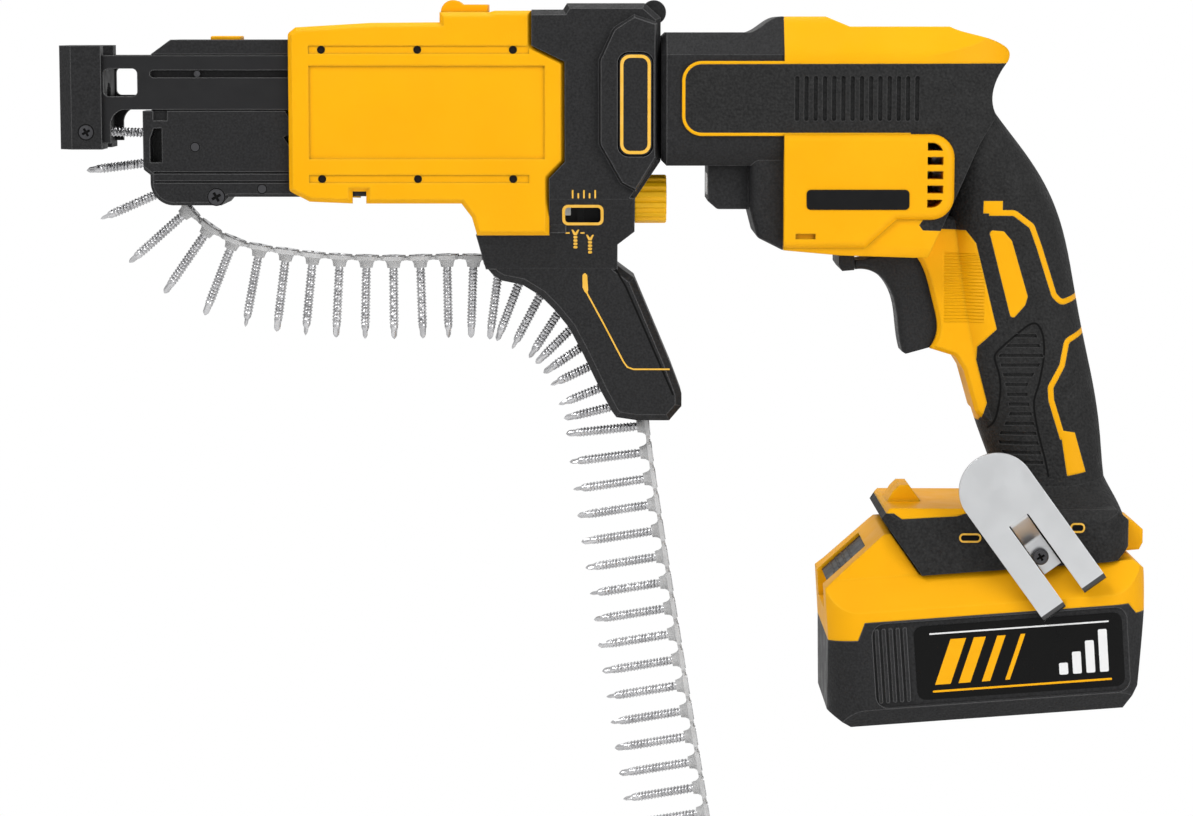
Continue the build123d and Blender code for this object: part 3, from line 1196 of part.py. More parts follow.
# Screws that close the body, their heads on the far side
with BuildPart() as housing_screws:
    for x, z, seat in BODY_SCREWS:
        add(pegs([(x, z)], SCREW_HEAD_R, seat + SCREW_HEAD, SCREW_HEAD, -1))
        add(pegs([(x, z)], SCREW_R, seat, seat + SCREW_REACH, -1))

with BuildPart() as near_holes:
    for x, z, seat in BODY_SCREWS:
        add(pegs([(x, z)], SCREW_R + SEAT, SCREW_REACH + 1, SCREW_REACH + 1))
    add(pegs([HOOK_SCREW], HOOK_SCREW_R + SEAT, FOOT_HALF, HOOK_SCREW_IN + 0.5))

with BuildPart() as far_holes:
    for x, z, seat in BODY_SCREWS:
        add(pegs([(x, z)], SCREW_R + SEAT, seat, seat, -1))
        add(pegs([(x, z)], SCREW_HEAD_R + 0.2, 40, 40 - seat, -1))
    add(pegs([HOOK_SCREW], HOOK_SCREW_R + SEAT, FOOT_HALF, HOOK_SCREW_IN + 0.5, -1))

with BuildPart() as housing_near:
    add(housing_left.part)
    add(near_holes.part, mode=Mode.SUBTRACT)

with BuildPart() as housing_far:
    mirror(housing_left.part, about=Plane.XZ)
    add(far_holes.part, mode=Mode.SUBTRACT)

# Grooves across the stripe of the soft skin
with BuildPart() as rib_room:
    with BuildSketch(side()):
        for count in range(GRIP_RIBS):
            with Locations((0, 4.2 - GRIP_RIB_PITCH * count)):
                Rectangle(40, 1.4)
        with BuildSketch(mode=Mode.INTERSECT):
            Polygon((-1.5, 6.5), (4.4, 7), (8.2, -4.5), (2.2, -14.5), (2.2, -19), (9.6, -49), (-4, -49),
                    (-8.6, -36),
                    (-4.4, -25.5), (-6.6, -14), (-9.2, -3.6), align=None)
    extrude(amount=40)
    add(handle_form(GRIP_RIB_DEEP), mode=Mode.SUBTRACT)

with BuildPart() as grip_near:
    add(grip_left.part)
    add(rib_room.part, mode=Mode.SUBTRACT)
    add(foot_tabs.part, mode=Mode.SUBTRACT)
    add(rail_room.part, mode=Mode.SUBTRACT)
    with BuildSketch(side(BARREL_HALF + 1)):
        for count in range(STRIPE_RIBS):
            with Locations((STRIPE_RIB_X + STRIPE_RIB_PITCH * count, (STRIPE_LOW + STRIPE_HIGH) / 2)):
                RectangleRounded(1.7, 17, 0.8)
    extrude(amount=-1.9, mode=Mode.SUBTRACT)

with BuildPart() as grip_far:
    mirror(grip_near.part, about=Plane.XZ)
    add(far_holes.part, mode=Mode.SUBTRACT)

with BuildPart() as grip_near_drilled:
    add(grip_near.part)
    add(near_holes.part, mode=Mode.SUBTRACT)

# Far-side pieces are the near-side ones mirrored
with BuildPart() as chassis_right:
    mirror(chassis_left.part, about=Plane.XZ)
with BuildPart() as cover_right:
    mirror(cover_left.part, about=Plane.XZ)
with BuildPart() as release_right:
    mirror(release_left.part, about=Plane.XZ)
with BuildPart() as feeder_right:
    mirror(feeder_left.part, about=Plane.XZ)
with BuildPart() as nose_plate_right:
    mirror(nose_plate_left.part, about=Plane.XZ)

# One file for every piece
pieces = {
    "housing_left": housing_near, "housing_right": housing_far, "grip_left": grip_near_drilled,
    "grip_right": grip_far, "housing_screws": housing_screws, "gear_case": gear_case, "lamp_lens": lamp_lens,
    "belt_hook": belt_hook, "belt_hook_screw": belt_hook_screw, "stator": stator, "rotor": rotor, "fan": fan,
    "pinion": pinion, "rotor_bearings": rotor_bearings, "bearing_plate": bearing_plate,
    "drive_gear": drive_gear, "spindle": spindle, "spindle_bearings": spindle_bearings,
    "driver_bit": driver_bit, "trigger": trigger, "switch_module": switch_module,
    "reverse_button": reverse_button, "control_board": control_board, "contact_block": contact_block,
    "chassis_left": chassis_left, "chassis_right": chassis_right, "cover_left": cover_left,
    "cover_right": cover_right, "cover_screws": cover_screws, "release_left": release_left,
    "release_right": release_right, "depth_knob": depth_knob, "depth_pointer": depth_pointer,
    "return_spring": return_spring, "feeder_left": feeder_left, "feeder_right": feeder_right,
    "feeder_pins": feeder_pins, "feeder_screws": feeder_screws, "feed_wheel": feed_wheel,
    "feed_lever": feed_lever, "nose_button": nose_button, "nose_plate_left": nose_plate_left,
    "nose_plate_right": nose_plate_right, "nose_cap": nose_cap, "nose_screws": nose_screws,
    "strip_band_front": strip_band_front, "strip_band_run": strip_band_run,
    "strip_band_tail": strip_band_tail, "strip_screws_front": strip_screws_front,
    "strip_screws_run": strip_screws_run, "strip_screws_tail": strip_screws_tail,
    "battery_lid": battery_lid, "battery_tray": battery_tray, "battery_latch": battery_latch,
    "battery_cells": battery_cells,
}
for name, piece in pieces.items():
    piece.part.label = name
    export_step(piece.part, "parts/" + name + ".step")
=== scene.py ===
import math

import bmesh
import bpy
import numpy as np
from mathutils import Matrix, Vector
from mathutils.bvhtree import BVHTree


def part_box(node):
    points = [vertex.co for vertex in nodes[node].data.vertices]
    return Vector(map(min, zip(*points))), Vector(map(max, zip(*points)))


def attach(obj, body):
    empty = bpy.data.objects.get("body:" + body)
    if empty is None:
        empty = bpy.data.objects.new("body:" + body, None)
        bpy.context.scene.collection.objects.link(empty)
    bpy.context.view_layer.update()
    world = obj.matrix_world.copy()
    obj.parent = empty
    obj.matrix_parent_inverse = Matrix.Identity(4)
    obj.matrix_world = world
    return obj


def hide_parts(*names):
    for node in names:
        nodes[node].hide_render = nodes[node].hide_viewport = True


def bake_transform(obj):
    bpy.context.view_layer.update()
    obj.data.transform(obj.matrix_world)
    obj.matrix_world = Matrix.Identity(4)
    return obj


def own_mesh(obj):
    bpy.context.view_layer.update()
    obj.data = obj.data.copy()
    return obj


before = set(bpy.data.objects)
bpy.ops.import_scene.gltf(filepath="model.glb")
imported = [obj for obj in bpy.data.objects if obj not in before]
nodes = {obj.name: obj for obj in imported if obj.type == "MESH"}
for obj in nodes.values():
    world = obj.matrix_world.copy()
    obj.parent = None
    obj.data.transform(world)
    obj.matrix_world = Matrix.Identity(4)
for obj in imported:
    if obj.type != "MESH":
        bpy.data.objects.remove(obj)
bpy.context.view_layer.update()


# Body halves
# Two mouldings of yellow glass-filled nylon that hold motor, switch and board between them.
# They carry a fine spark-eroded grain, fine finger ribs beside the trigger and a bare badge on the pad.
def new_look(name, colour, rough, metal=0.0, shine=0.5):
    look = bpy.data.materials.new(name)
    look.use_nodes = True
    base = base_of(look)
    base.inputs["Base Color"].default_value = (*colour, 1.0)
    base.inputs["Roughness"].default_value = rough
    base.inputs["Metallic"].default_value = metal
    base.inputs["Specular IOR Level"].default_value = shine
    look.diffuse_color = (*colour, 1.0)
    return look


def base_of(look):
    return look.node_tree.nodes["Principled BSDF"]


def add(look, kind, inputs=(), **settings):
    node = look.node_tree.nodes.new("ShaderNode" + kind)
    for key, value in settings.items():
        setattr(node, key, value)
    for key, value in dict(inputs).items():
        if hasattr(value, "links"):
            look.node_tree.links.new(value, node.inputs[key])
        else:
            node.inputs[key].default_value = value
    return node


def place(look):
    found = look.node_tree.nodes.get("place")
    if found is None:
        found = add(look, "TexCoord")
        found.name = "place"
    return found.outputs["Object"]


def along(look, axis):
    found = look.node_tree.nodes.get("split place")
    if found is None:
        found = add(look, "SeparateXYZ", {"Vector": place(look)})
        found.name = "split place"
    return found.outputs[axis]


def math_of(look, how, first, second=0.0, clamp=False):
    return add(look, "Math", {0: first, 1: second}, operation=how, use_clamp=clamp).outputs[0]


def cloud(look, size_mm, detail=2.0, stretch=(1.0, 1.0, 1.0)):
    spread = add(look, "Mapping", {"Vector": place(look), "Scale": stretch})
    inputs = {"Vector": spread.outputs[0], "Scale": 1000.0 / size_mm, "Detail": detail}
    return add(look, "TexNoise", inputs).outputs["Fac"]


def lines(look, axis, pitch_mm):
    turns = math_of(look, "MULTIPLY", along(look, axis), 2000.0 * math.pi / pitch_mm)
    return math_of(look, "SINE", turns)


def inside(look, **limits):
    mask = None
    for axis, (low, high) in limits.items():
        above = math_of(look, "GREATER_THAN", along(look, axis), low / 1000.0)
        below = math_of(look, "LESS_THAN", along(look, axis), high / 1000.0)
        band = math_of(look, "MULTIPLY", above, below)
        mask = band if mask is None else math_of(look, "MULTIPLY", mask, band)
    return mask


def relief(look, height, depth_mm):
    base = base_of(look)
    bump = add(look, "Bump", {"Height": height, "Distance": depth_mm / 1000.0})
    held = base.inputs["Normal"].links
    if held:
        look.node_tree.links.new(held[0].from_socket, bump.inputs["Normal"])
    look.node_tree.links.new(bump.outputs[0], base.inputs["Normal"])


def soft_edges(look, radius_mm):
    bevel = add(look, "Bevel", {"Radius": radius_mm / 1000.0}, samples=4)
    look.node_tree.links.new(bevel.outputs[0], base_of(look).inputs["Normal"])


def vary_rough(look, height, low, high):
    spread = add(look, "MapRange", {"Value": height, 1: 0.3, 2: 0.7, 3: low, 4: high})
    look.node_tree.links.new(spread.outputs[0], base_of(look).inputs["Roughness"])


def vary_colour(look, height, one, other, low=0.35, high=0.65):
    ramp = add(look, "ValToRGB", {"Fac": height})
    ramp.color_ramp.elements[0].position = low
    ramp.color_ramp.elements[1].position = high
    ramp.color_ramp.elements[0].color = (*one, 1.0)
    ramp.color_ramp.elements[1].color = (*other, 1.0)
    look.node_tree.links.new(ramp.outputs[0], base_of(look).inputs["Base Color"])


def tint(look, mix):
    base = base_of(look)
    held = base.inputs["Base Color"].links
    if held:
        look.node_tree.links.new(held[0].from_socket, mix.inputs[6])
    else:
        mix.inputs[6].default_value = base.inputs["Base Color"].default_value
    look.node_tree.links.new(mix.outputs[2], base.inputs["Base Color"])


# Painted highlight: lightens the base colour within the bevel radius of every edge, standing in for the
# light that edges catch.
def painted_edge_highlights(look, radius_mm, colour):
    bevel = add(look, "Bevel", {"Radius": radius_mm / 1000.0}, samples=4)
    shape = add(look, "NewGeometry")
    facing = {0: bevel.outputs[0], 1: shape.outputs["Normal"]}
    flat = add(look, "VectorMath", facing, operation="DOT_PRODUCT").outputs["Value"]
    mask = add(look, "MapRange", {"Value": flat, 1: 0.99, 2: 0.88, 3: 0.0, 4: 1.0}).outputs[0]
    tint(look, add(look, "Mix", {0: mask, 7: (*colour, 1.0)}, data_type="RGBA"))


# Painted shade: darkens the base colour where ambient occlusion finds nearby surfaces, in creases, corners
# and gaps between parts.
def painted_crease_shade(look, reach_mm, share):
    near = add(look, "AmbientOcclusion", {"Distance": reach_mm / 1000.0}, samples=4, only_local=False)
    spread = {"Value": near.outputs["AO"], 1: 0.35, 2: 0.9, 3: share, 4: 1.0}
    level = add(look, "MapRange", spread).outputs[0]
    tint(look, add(look, "Mix", {0: 1.0, 7: level}, data_type="RGBA", blend_type="MULTIPLY"))


def wear(look, *names):
    for name in names:
        nodes[name].data.materials.clear()
        nodes[name].data.materials.append(look)


def rounded(x0, x1, z0, z1, r, steps=5):
    loop = []
    corners = ((x1 - r, z1 - r, 0), (x0 + r, z1 - r, 90), (x0 + r, z0 + r, 180), (x1 - r, z0 + r, 270))
    for x, z, start in corners:
        for step in range(steps + 1):
            turn = math.radians(start + 90 * step / steps)
            loop.append((x + r * math.cos(turn), z + r * math.sin(turn)))
    return loop


def show(name, bm, look, body=None, smooth=None):
    mesh = bpy.data.meshes.new(name)
    bm.to_mesh(mesh)
    bm.free()
    mesh.materials.append(look)
    if smooth is not None:
        mesh.polygons.foreach_set("use_smooth", [True] * len(mesh.polygons))
        mesh.set_sharp_from_angle(angle=math.radians(smooth))
    piece = bpy.data.objects.new(name, mesh)
    bpy.context.scene.collection.objects.link(piece)
    if body:
        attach(piece, body)
    return piece


def raised(name, outlines, depth, thick, look, body, far=False):
    bm = bmesh.new()
    for loop in outlines:
        corners = [bm.verts.new((x / 1000.0, 0.0, z / 1000.0)) for x, z in loop]
        for one, two in zip(corners, corners[1:] + corners[:1]):
            bm.edges.new((one, two))
    bmesh.ops.triangle_fill(bm, edges=bm.edges[:], use_beauty=True, normal=(0.0, -1.0, 0.0))
    lifted = bmesh.ops.extrude_face_region(bm, geom=bm.faces[:])["geom"]
    top = {corner for corner in lifted if isinstance(corner, bmesh.types.BMVert)}
    for corner in bm.verts:
        out = depth(corner.co.x * 1000.0, corner.co.z * 1000.0) if callable(depth) else depth
        out += thick if corner in top else 0.0
        corner.co.y = (out if far else -out) / 1000.0
    bmesh.ops.recalc_face_normals(bm, faces=bm.faces[:])
    return show(name, bm, look, body)


SIDES = ((False, "near"), (True, "far"))
BODY_OUT = 31.9
YELLOW = (0.89, 0.41, 0.002)
yellow_nylon = new_look("yellow_nylon", YELLOW, 0.44, shine=0.12)
soft_edges(yellow_nylon, 1.3)
relief(yellow_nylon, cloud(yellow_nylon, 0.7), 0.05)
finger_ribs = math_of(
    yellow_nylon,
    "MULTIPLY",
    lines(yellow_nylon, "Z", 1.3),
    inside(yellow_nylon, X=(-30.0, -15.0), Z=(9.0, 36.0)),
)
relief(yellow_nylon, finger_ribs, 0.2)
vary_rough(yellow_nylon, cloud(yellow_nylon, 9.0), 0.38, 0.52)
vary_colour(yellow_nylon, cloud(yellow_nylon, 30.0), (0.865, 0.40, 0.0015), (0.905, 0.42, 0.0025))
# Painted highlights along the edges of the yellow nylon.
painted_edge_highlights(yellow_nylon, 1.1, (0.95, 0.50, 0.012))
# Painted shade in the creases of the yellow nylon.
painted_crease_shade(yellow_nylon, 2.0, 0.5)
wear(yellow_nylon, "housing_left", "housing_right")

badge_black = new_look("badge_black", (0.006, 0.006, 0.0065), 0.35, shine=0.15)
relief(badge_black, cloud(badge_black, 0.3), 0.01)
vary_rough(badge_black, cloud(badge_black, 4.0), 0.28, 0.42)
for far, side in SIDES:
    badge = [rounded(-84.5, -45.5, 53.4, 61.0, 1.6)]
    raised("pad_badge_" + side, badge, BODY_OUT, 0.35, badge_black, "frame", far)


# Soft skins
# Black thermoplastic rubber moulded over the nylon on stripe, handle and foot, with a leathery grain.
# A dark line painted round the ribbed pad stands for the shade in its groove; the foot has two narrow slots
# a side, drawn as dark patches of painted shade inside a thin yellow rim.
rubber = new_look("rubber", (0.012, 0.012, 0.0125), 0.62, shine=0.2)
soft_edges(rubber, 0.5)
pebbles = add(rubber, "TexVoronoi", {"Vector": place(rubber), "Scale": 900.0}, feature="SMOOTH_F1")
relief(rubber, pebbles.outputs["Distance"], 0.3)
relief(rubber, cloud(rubber, 1.1, 3.0), 0.22)
vary_rough(rubber, cloud(rubber, 6.0), 0.55, 0.72)
vary_colour(rubber, cloud(rubber, 0.9, 4.0), (0.007, 0.007, 0.0072), (0.022, 0.022, 0.022), 0.32, 0.68)
# Painted highlights along the edges of the rubber.
painted_edge_highlights(rubber, 0.6, (0.06, 0.06, 0.06))
# Painted shade in the creases of the rubber.
painted_crease_shade(rubber, 2.5, 0.3)
wear(rubber, "grip_left", "grip_right")

paint_yellow = new_look("paint_yellow", (0.84, 0.48, 0.07), 0.4, shine=0.15)
relief(paint_yellow, cloud(paint_yellow, 0.3), 0.01)
vary_colour(paint_yellow, cloud(paint_yellow, 3.0), (0.82, 0.46, 0.055), (0.87, 0.50, 0.085))
# Near-black sheets laid into slots, grooves, gaps and screw recesses: painted shade where these hollows
# fall dark.
painted_hole_shade = new_look("painted_hole_shade", (0.004, 0.004, 0.004), 0.8, shine=0.1)
relief(painted_hole_shade, cloud(painted_hole_shade, 0.6), 0.05)
for far, side in SIDES:
    rims = []
    slot_shades = []
    for x0, x1, z0, z1 in ((-25.0, -16.5, -74.4, -70.8), (17.6, 23.3, -70.6, -66.8)):
        rims += [rounded(x0, x1, z0, z1, 1.7), rounded(x0 + 0.7, x1 - 0.7, z0 + 0.7, z1 - 0.7, 1.0)]
        slot_shades.append(rounded(x0 + 0.6, x1 - 0.6, z0 + 0.6, z1 - 0.6, 1.1))
    raised("foot_slot_rims_" + side, rims, BODY_OUT, 0.3, paint_yellow, "frame", far)
    # The slot floors are dark patches of painted shade.
    raised("foot_slot_shades_" + side, slot_shades, BODY_OUT, 0.16, painted_hole_shade, "frame", far)


def ribbon(points, wide):
    left = []
    right = []
    for count, (x, z) in enumerate(points):
        before = Vector(points[max(count - 1, 0)])
        after = Vector(points[min(count + 1, len(points) - 1)])
        way = (after - before).normalized()
        left.append((x - way.y * wide / 2, z + way.x * wide / 2))
        right.append((x + way.y * wide / 2, z - way.x * wide / 2))
    return left + right[::-1]


def rounded_path(points, rounds):
    for _ in range(rounds):
        cut = [points[0]]
        for (x0, z0), (x1, z1) in zip(points, points[1:]):
            cut.append((0.75 * x0 + 0.25 * x1, 0.75 * z0 + 0.25 * z1))
            cut.append((0.25 * x0 + 0.75 * x1, 0.25 * z0 + 0.75 * z1))
        points = cut + [points[-1]]
    return points


pad_path = [(-12.4, -32.4), (-9.8, -29.5), (-8.5, -21.8), (-8.1, -15.3), (-8.9, -10.2), (-10.9, -4.6)]
pad_path += [(-10.3, -2.2), (-3.3, 4.1), (4.2, 10.2), (7.4, 6.4), (8.4, 0.2), (8.2, -5.0), (7.4, -10.0)]
pad_path += [(6.4, -15.3), (4.8, -19.8), (4.7, -24.0), (6.0, -31.0), (7.9, -38.5), (9.5, -44.0)]
pad_path += [(10.8, -50.8)]
PAD_SHADE_SUNK = 0.1
skins = []
for name in ("grip_left", "grip_right"):
    skin = bmesh.new()
    skin.from_mesh(nodes[name].data)
    skins.append(BVHTree.FromBMesh(skin))
    skin.free()


def skin_side(x, z):
    start = Vector((x / 1000.0, -0.2, z / 1000.0))
    hits = [skin.ray_cast(start, Vector((0.0, 1.0, 0.0)))[0] for skin in skins]
    return max(-1000.0 * hit.y for hit in hits if hit) - PAD_SHADE_SUNK


for far, side in SIDES:
    # A dark ribbon on the skin, painted shade standing for the groove round the pad.
    pad_groove_shade = [ribbon(rounded_path(pad_path, 3), 0.7)]
    raised("pad_groove_shade_" + side, pad_groove_shade, skin_side, 0.15, painted_hole_shade, "frame", far)


# Screws that close the body
# Ten blackened steel screws driven from the far side into the near half; their cross recesses show there.
dark_steel = new_look("dark_steel", (0.075, 0.075, 0.08), 0.34, 0.9)
relief(dark_steel, cloud(dark_steel, 0.5), 0.02)
vary_rough(dark_steel, cloud(dark_steel, 2.0), 0.3, 0.48)
wear(dark_steel, "housing_screws")


def disc(x, z, r, steps=20):
    turns = [2.0 * math.pi * step / steps for step in range(steps)]
    return [(x + r * math.cos(turn), z + r * math.sin(turn)) for turn in turns]


def cross(x, z, r, lean):
    arm, wide = 0.6 * r, 0.17 * r
    quarter = [(arm, -wide), (arm, wide), (wide, wide)]
    loop = []
    for count in range(4):
        c, s = math.cos(lean + math.pi * count / 2), math.sin(lean + math.pi * count / 2)
        loop += [(x + c * a - s * b, z + s * a + c * b) for a, b in quarter]
    return loop


def cross_heads(name, screws, radius, look, body, far=False):
    def depth(x, z):
        return min(screws, key=lambda screw: (screw[0] - x) ** 2 + (screw[1] - z) ** 2)[2]

    caps = []
    recess_shades = []
    for count, (x, z, out) in enumerate(screws):
        hole = cross(x, z, radius, 0.5 + 1.1 * count)
        caps += [disc(x, z, 0.96 * radius), hole]
        recess_shades.append(hole)
    raised(name + "_caps", caps, depth, 0.4, look, body, far)
    # The dark cross at the bottom of each recess is painted shade.
    raised(name + "_recess_shades", recess_shades, depth, 0.03, painted_hole_shade, body, far)


body_heads = [
    (-84, 118, 22.2),
    (-50, 112, 24.2),
    (-86, 44, 26.2),
    (-52, 43, 26.2),
    (-14, 66, 20.2),
    (8, 40, 15.2),
    (22, -38, 14.2),
    (-9, -20, 14.2),
    (-41, -70, 27.2),
    (35, -72, 24.2),
]
cross_heads("body_screw", body_heads, 3.2, dark_steel, "frame", True)


# Motor and gears
# Laminated steel stator and rotor, nylon fan, hardened pinion and wheel, turned spindle in ball bearings.
laminated = new_look("laminated", (0.22, 0.21, 0.20), 0.45, 1.0)
relief(laminated, lines(laminated, "X", 0.7), 0.08)
vary_rough(laminated, cloud(laminated, 3.0), 0.4, 0.55)
wear(laminated, "stator", "rotor")
turned_steel = new_look("turned_steel", (0.55, 0.55, 0.56), 0.28, 1.0)
relief(turned_steel, cloud(turned_steel, 0.5, 1.0, (8.0, 1.0, 1.0)), 0.01)
vary_rough(turned_steel, cloud(turned_steel, 2.5), 0.22, 0.36)
wear(turned_steel, "spindle", "drive_gear", "driver_bit", "spindle_bearings", "rotor_bearings", "pinion")
cast_metal = new_look("cast_metal", (0.42, 0.42, 0.43), 0.5, 1.0)
relief(cast_metal, cloud(cast_metal, 1.2), 0.08)
wear(cast_metal, "bearing_plate")


# Gear case
# One black glass-filled nylon moulding with the lamp box below and the spigot that carries the magazine.
# The lamp lens is a small clear acrylic window in the front of the box.
BLACK = (0.011, 0.011, 0.012)
black_nylon = new_look("black_nylon", BLACK, 0.46, shine=0.22)
soft_edges(black_nylon, 0.4)
relief(black_nylon, cloud(black_nylon, 1.0, 3.0), 0.16)
vary_rough(black_nylon, cloud(black_nylon, 7.0), 0.4, 0.56)
DARK_GRAIN, PALE_GRAIN = (0.007, 0.007, 0.0075), (0.020, 0.020, 0.021)
vary_colour(black_nylon, cloud(black_nylon, 0.8, 4.0), DARK_GRAIN, PALE_GRAIN, 0.32, 0.68)
# Painted highlights along the edges of the black nylon.
painted_edge_highlights(black_nylon, 0.6, (0.13, 0.13, 0.132))
# Painted shade in the creases of the black nylon.
painted_crease_shade(black_nylon, 2.5, 0.25)
wear(black_nylon, "gear_case", "fan")
lens = new_look("lens", (0.85, 0.87, 0.9), 0.12)
base_of(lens).inputs["Transmission Weight"].default_value = 0.6
relief(lens, lines(lens, "Y", 2.0), 0.1)
wear(lens, "lamp_lens")


# Trigger, switch and board
# A ribbed black trigger on a nylon switch box, a push-through direction button, a green board, contacts.
trigger_black = new_look("trigger_black", (0.012, 0.012, 0.013), 0.4, shine=0.25)
soft_edges(trigger_black, 0.4)
relief(trigger_black, cloud(trigger_black, 0.9, 3.0), 0.08)
grip_lines = math_of(
    trigger_black,
    "MULTIPLY",
    lines(trigger_black, "Z", 3.0),
    inside(trigger_black, Y=(-7.5, 7.5), Z=(-1.0, 24.0)),
)
relief(trigger_black, grip_lines, 0.2)
vary_rough(trigger_black, cloud(trigger_black, 5.0), 0.36, 0.5)
vary_colour(trigger_black, cloud(trigger_black, 0.9, 3.0), (0.007, 0.007, 0.0075), (0.017, 0.017, 0.018))
wear(trigger_black, "trigger", "reverse_button", "switch_module", "contact_block")
board_green = new_look("board_green", (0.01, 0.09, 0.03), 0.4)
relief(board_green, cloud(board_green, 2.0, 0.0), 0.15)
wear(board_green, "control_board")


# Magazine chassis
# Two black mouldings: collar on the spigot, arms behind the covers and a boot that leads the strip.
# Fine yellow lines, a depth scale and two plain screw signs are printed on both sides.
wear(black_nylon, "chassis_left", "chassis_right")


COLLAR_OUT = 25.0
BOOT_OUT = 15.0
SLOPE_TOP, SLOPE_HIGH = 57.0, 27.0


def collar_side(x, z):
    return COLLAR_OUT - 10.0 / SLOPE_HIGH * min(max(SLOPE_TOP - z, 0.0), SLOPE_HIGH)


def screw_sign(x, top):
    head = [(x - 1.5, top), (x - 0.9, top), (x, top - 1.2), (x + 0.9, top), (x + 1.5, top)]
    head += [(x + 0.6, top - 2.2), (x - 0.6, top - 2.2)]
    turns = [rounded(x - 0.8, x + 0.8, top - 3.5 - 1.3 * k, top - 2.45 - 1.3 * k, 0.5, 3) for k in range(4)]
    return [head] + turns


for far, side in SIDES:
    window = [rounded(-177.4, -161.6, 46.9, 54.9, 2.2), rounded(-176.3, -162.7, 48.0, 53.8, 1.3)]
    raised("window_rim_" + side, window, collar_side, 0.15, paint_yellow, "frame", far)
    scale = []
    for count in range(5):
        x = -173.4 + 2.15 * count
        scale.append(rounded(x - 0.3, x + 0.3, 57.4, 60.6 if count % 2 == 0 else 59.4, 0.2, 2))
    raised("depth_scale_" + side, scale, COLLAR_OUT, 0.1, paint_yellow, "frame", far)
    signs = screw_sign(-172.4, 45.2) + screw_sign(-166.8, 43.2)
    for x in (-175.4, -169.7):
        signs.append(rounded(x - 0.8, x + 0.8, 43.6, 44.2, 0.2, 2))
    raised("screw_signs_" + side, signs, collar_side, 0.1, paint_yellow, "frame", far)
    boot_line = [(-168.8, 27.0), (-167.9, 20.2), (-161.4, 8.2), (-153.9, -6.2), (-152.4, -8.3)]
    boot_line += [(-150.0, -9.2), (-136.0, -9.2)]
    blob = [(-169.7, 27.3), (-169.1, 28.0), (-168.5, 28.0), (-167.9, 27.3), (-167.5, 21.5), (-168.0, 20.0)]
    blob += [(-168.9, 20.9), (-169.7, 22.6)]
    # A dark line along the boot's edge: painted shade standing for the groove there.
    boot_groove_shade = [(-156.9, 29.6), (-152.9, 22.7), (-140.7, -5.2), (-134.6, -19.2)]
    raised("boot_groove_shade_" + side, [ribbon(boot_groove_shade, 0.7)], BOOT_OUT, 0.06, painted_hole_shade, "frame", far)
    raised("boot_line_" + side, [ribbon(boot_line, 0.6)], BOOT_OUT, 0.12, paint_yellow, "frame", far)
    raised("boot_line_head_" + side, [blob], BOOT_OUT, 0.16, paint_yellow, "frame", far)


# Magazine covers
# Two yellow nylon covers with a bare recessed panel, held by six small black screws a side.
wear(yellow_nylon, "cover_left", "cover_right")
black_screw = new_look("black_screw", (0.006, 0.005, 0.006), 0.5, shine=0.15)
relief(black_screw, cloud(black_screw, 0.5), 0.02)
wear(black_screw, "cover_screws")


# Release buttons
# Two black ovals in the collar that free the magazine, each with a yellow line printed round its edge.
RELEASE_OUT = 28.75
wear(trigger_black, "release_left", "release_right")
for far, side in SIDES:
    oval = [rounded(-155.3, -143.7, 74.4, 112.0, 3.6), rounded(-154.1, -144.9, 75.6, 110.8, 2.6)]
    raised("release_ring_" + side, oval, RELEASE_OUT, 0.15, paint_yellow, "release_" + side, far)


# Depth setting
# A ribbed amber nylon wheel on a threaded rod moves a black carriage; its white mark shows in the window.
amber_nylon = new_look("amber_nylon", (1.0, 0.54, 0.006), 0.42, shine=0.3)
soft_edges(amber_nylon, 0.4)
relief(amber_nylon, cloud(amber_nylon, 0.4), 0.03)
vary_rough(amber_nylon, cloud(amber_nylon, 4.0), 0.36, 0.5)
wear(amber_nylon, "depth_knob")
wear(badge_black, "depth_pointer")
MARK_OUT = 15.95
mark_white = new_look("mark_white", (0.95, 0.95, 0.93), 0.5)
relief(mark_white, cloud(mark_white, 0.3), 0.01)
for far, side in SIDES:
    mark = [rounded(-176.6, -174.2, 50.4, 53.9, 0.3, 2)]
    raised("depth_mark_" + side, mark, MARK_OUT, 0.25, mark_white, "depth_slider", far)


# Return spring
# Wound spring wire round the bit that pushes the feeder forward; both ends are closed and flat.
BIT_AXIS_Z = 0.0955
COIL_FRONT_X, COIL_LONG, COIL_R, WIRE_R = -0.2611, 0.0712, 0.0082, 0.0008
COIL_TURNS, TURN_STEPS = 10, 24


def tube(points, radius, steps=8):
    bm = bmesh.new()
    rings = []
    for count, at in enumerate(points):
        before = points[max(count - 1, 0)]
        after = points[min(count + 1, len(points) - 1)]
        way = (after - before).normalized()
        out = Vector((0.0, at.y, at.z - BIT_AXIS_Z)).normalized()
        up = way.cross(out).normalized()
        out = up.cross(way)
        turns = [2.0 * math.pi * step / steps for step in range(steps)]
        rings.append([bm.verts.new(at + radius * (math.cos(t) * out + math.sin(t) * up)) for t in turns])
    for one, two in zip(rings, rings[1:]):
        for k in range(steps):
            bm.faces.new((one[k], one[(k + 1) % steps], two[(k + 1) % steps], two[k]))
    bm.faces.new(rings[0][::-1])
    bm.faces.new(rings[-1])
    bmesh.ops.recalc_face_normals(bm, faces=bm.faces[:])
    return bm


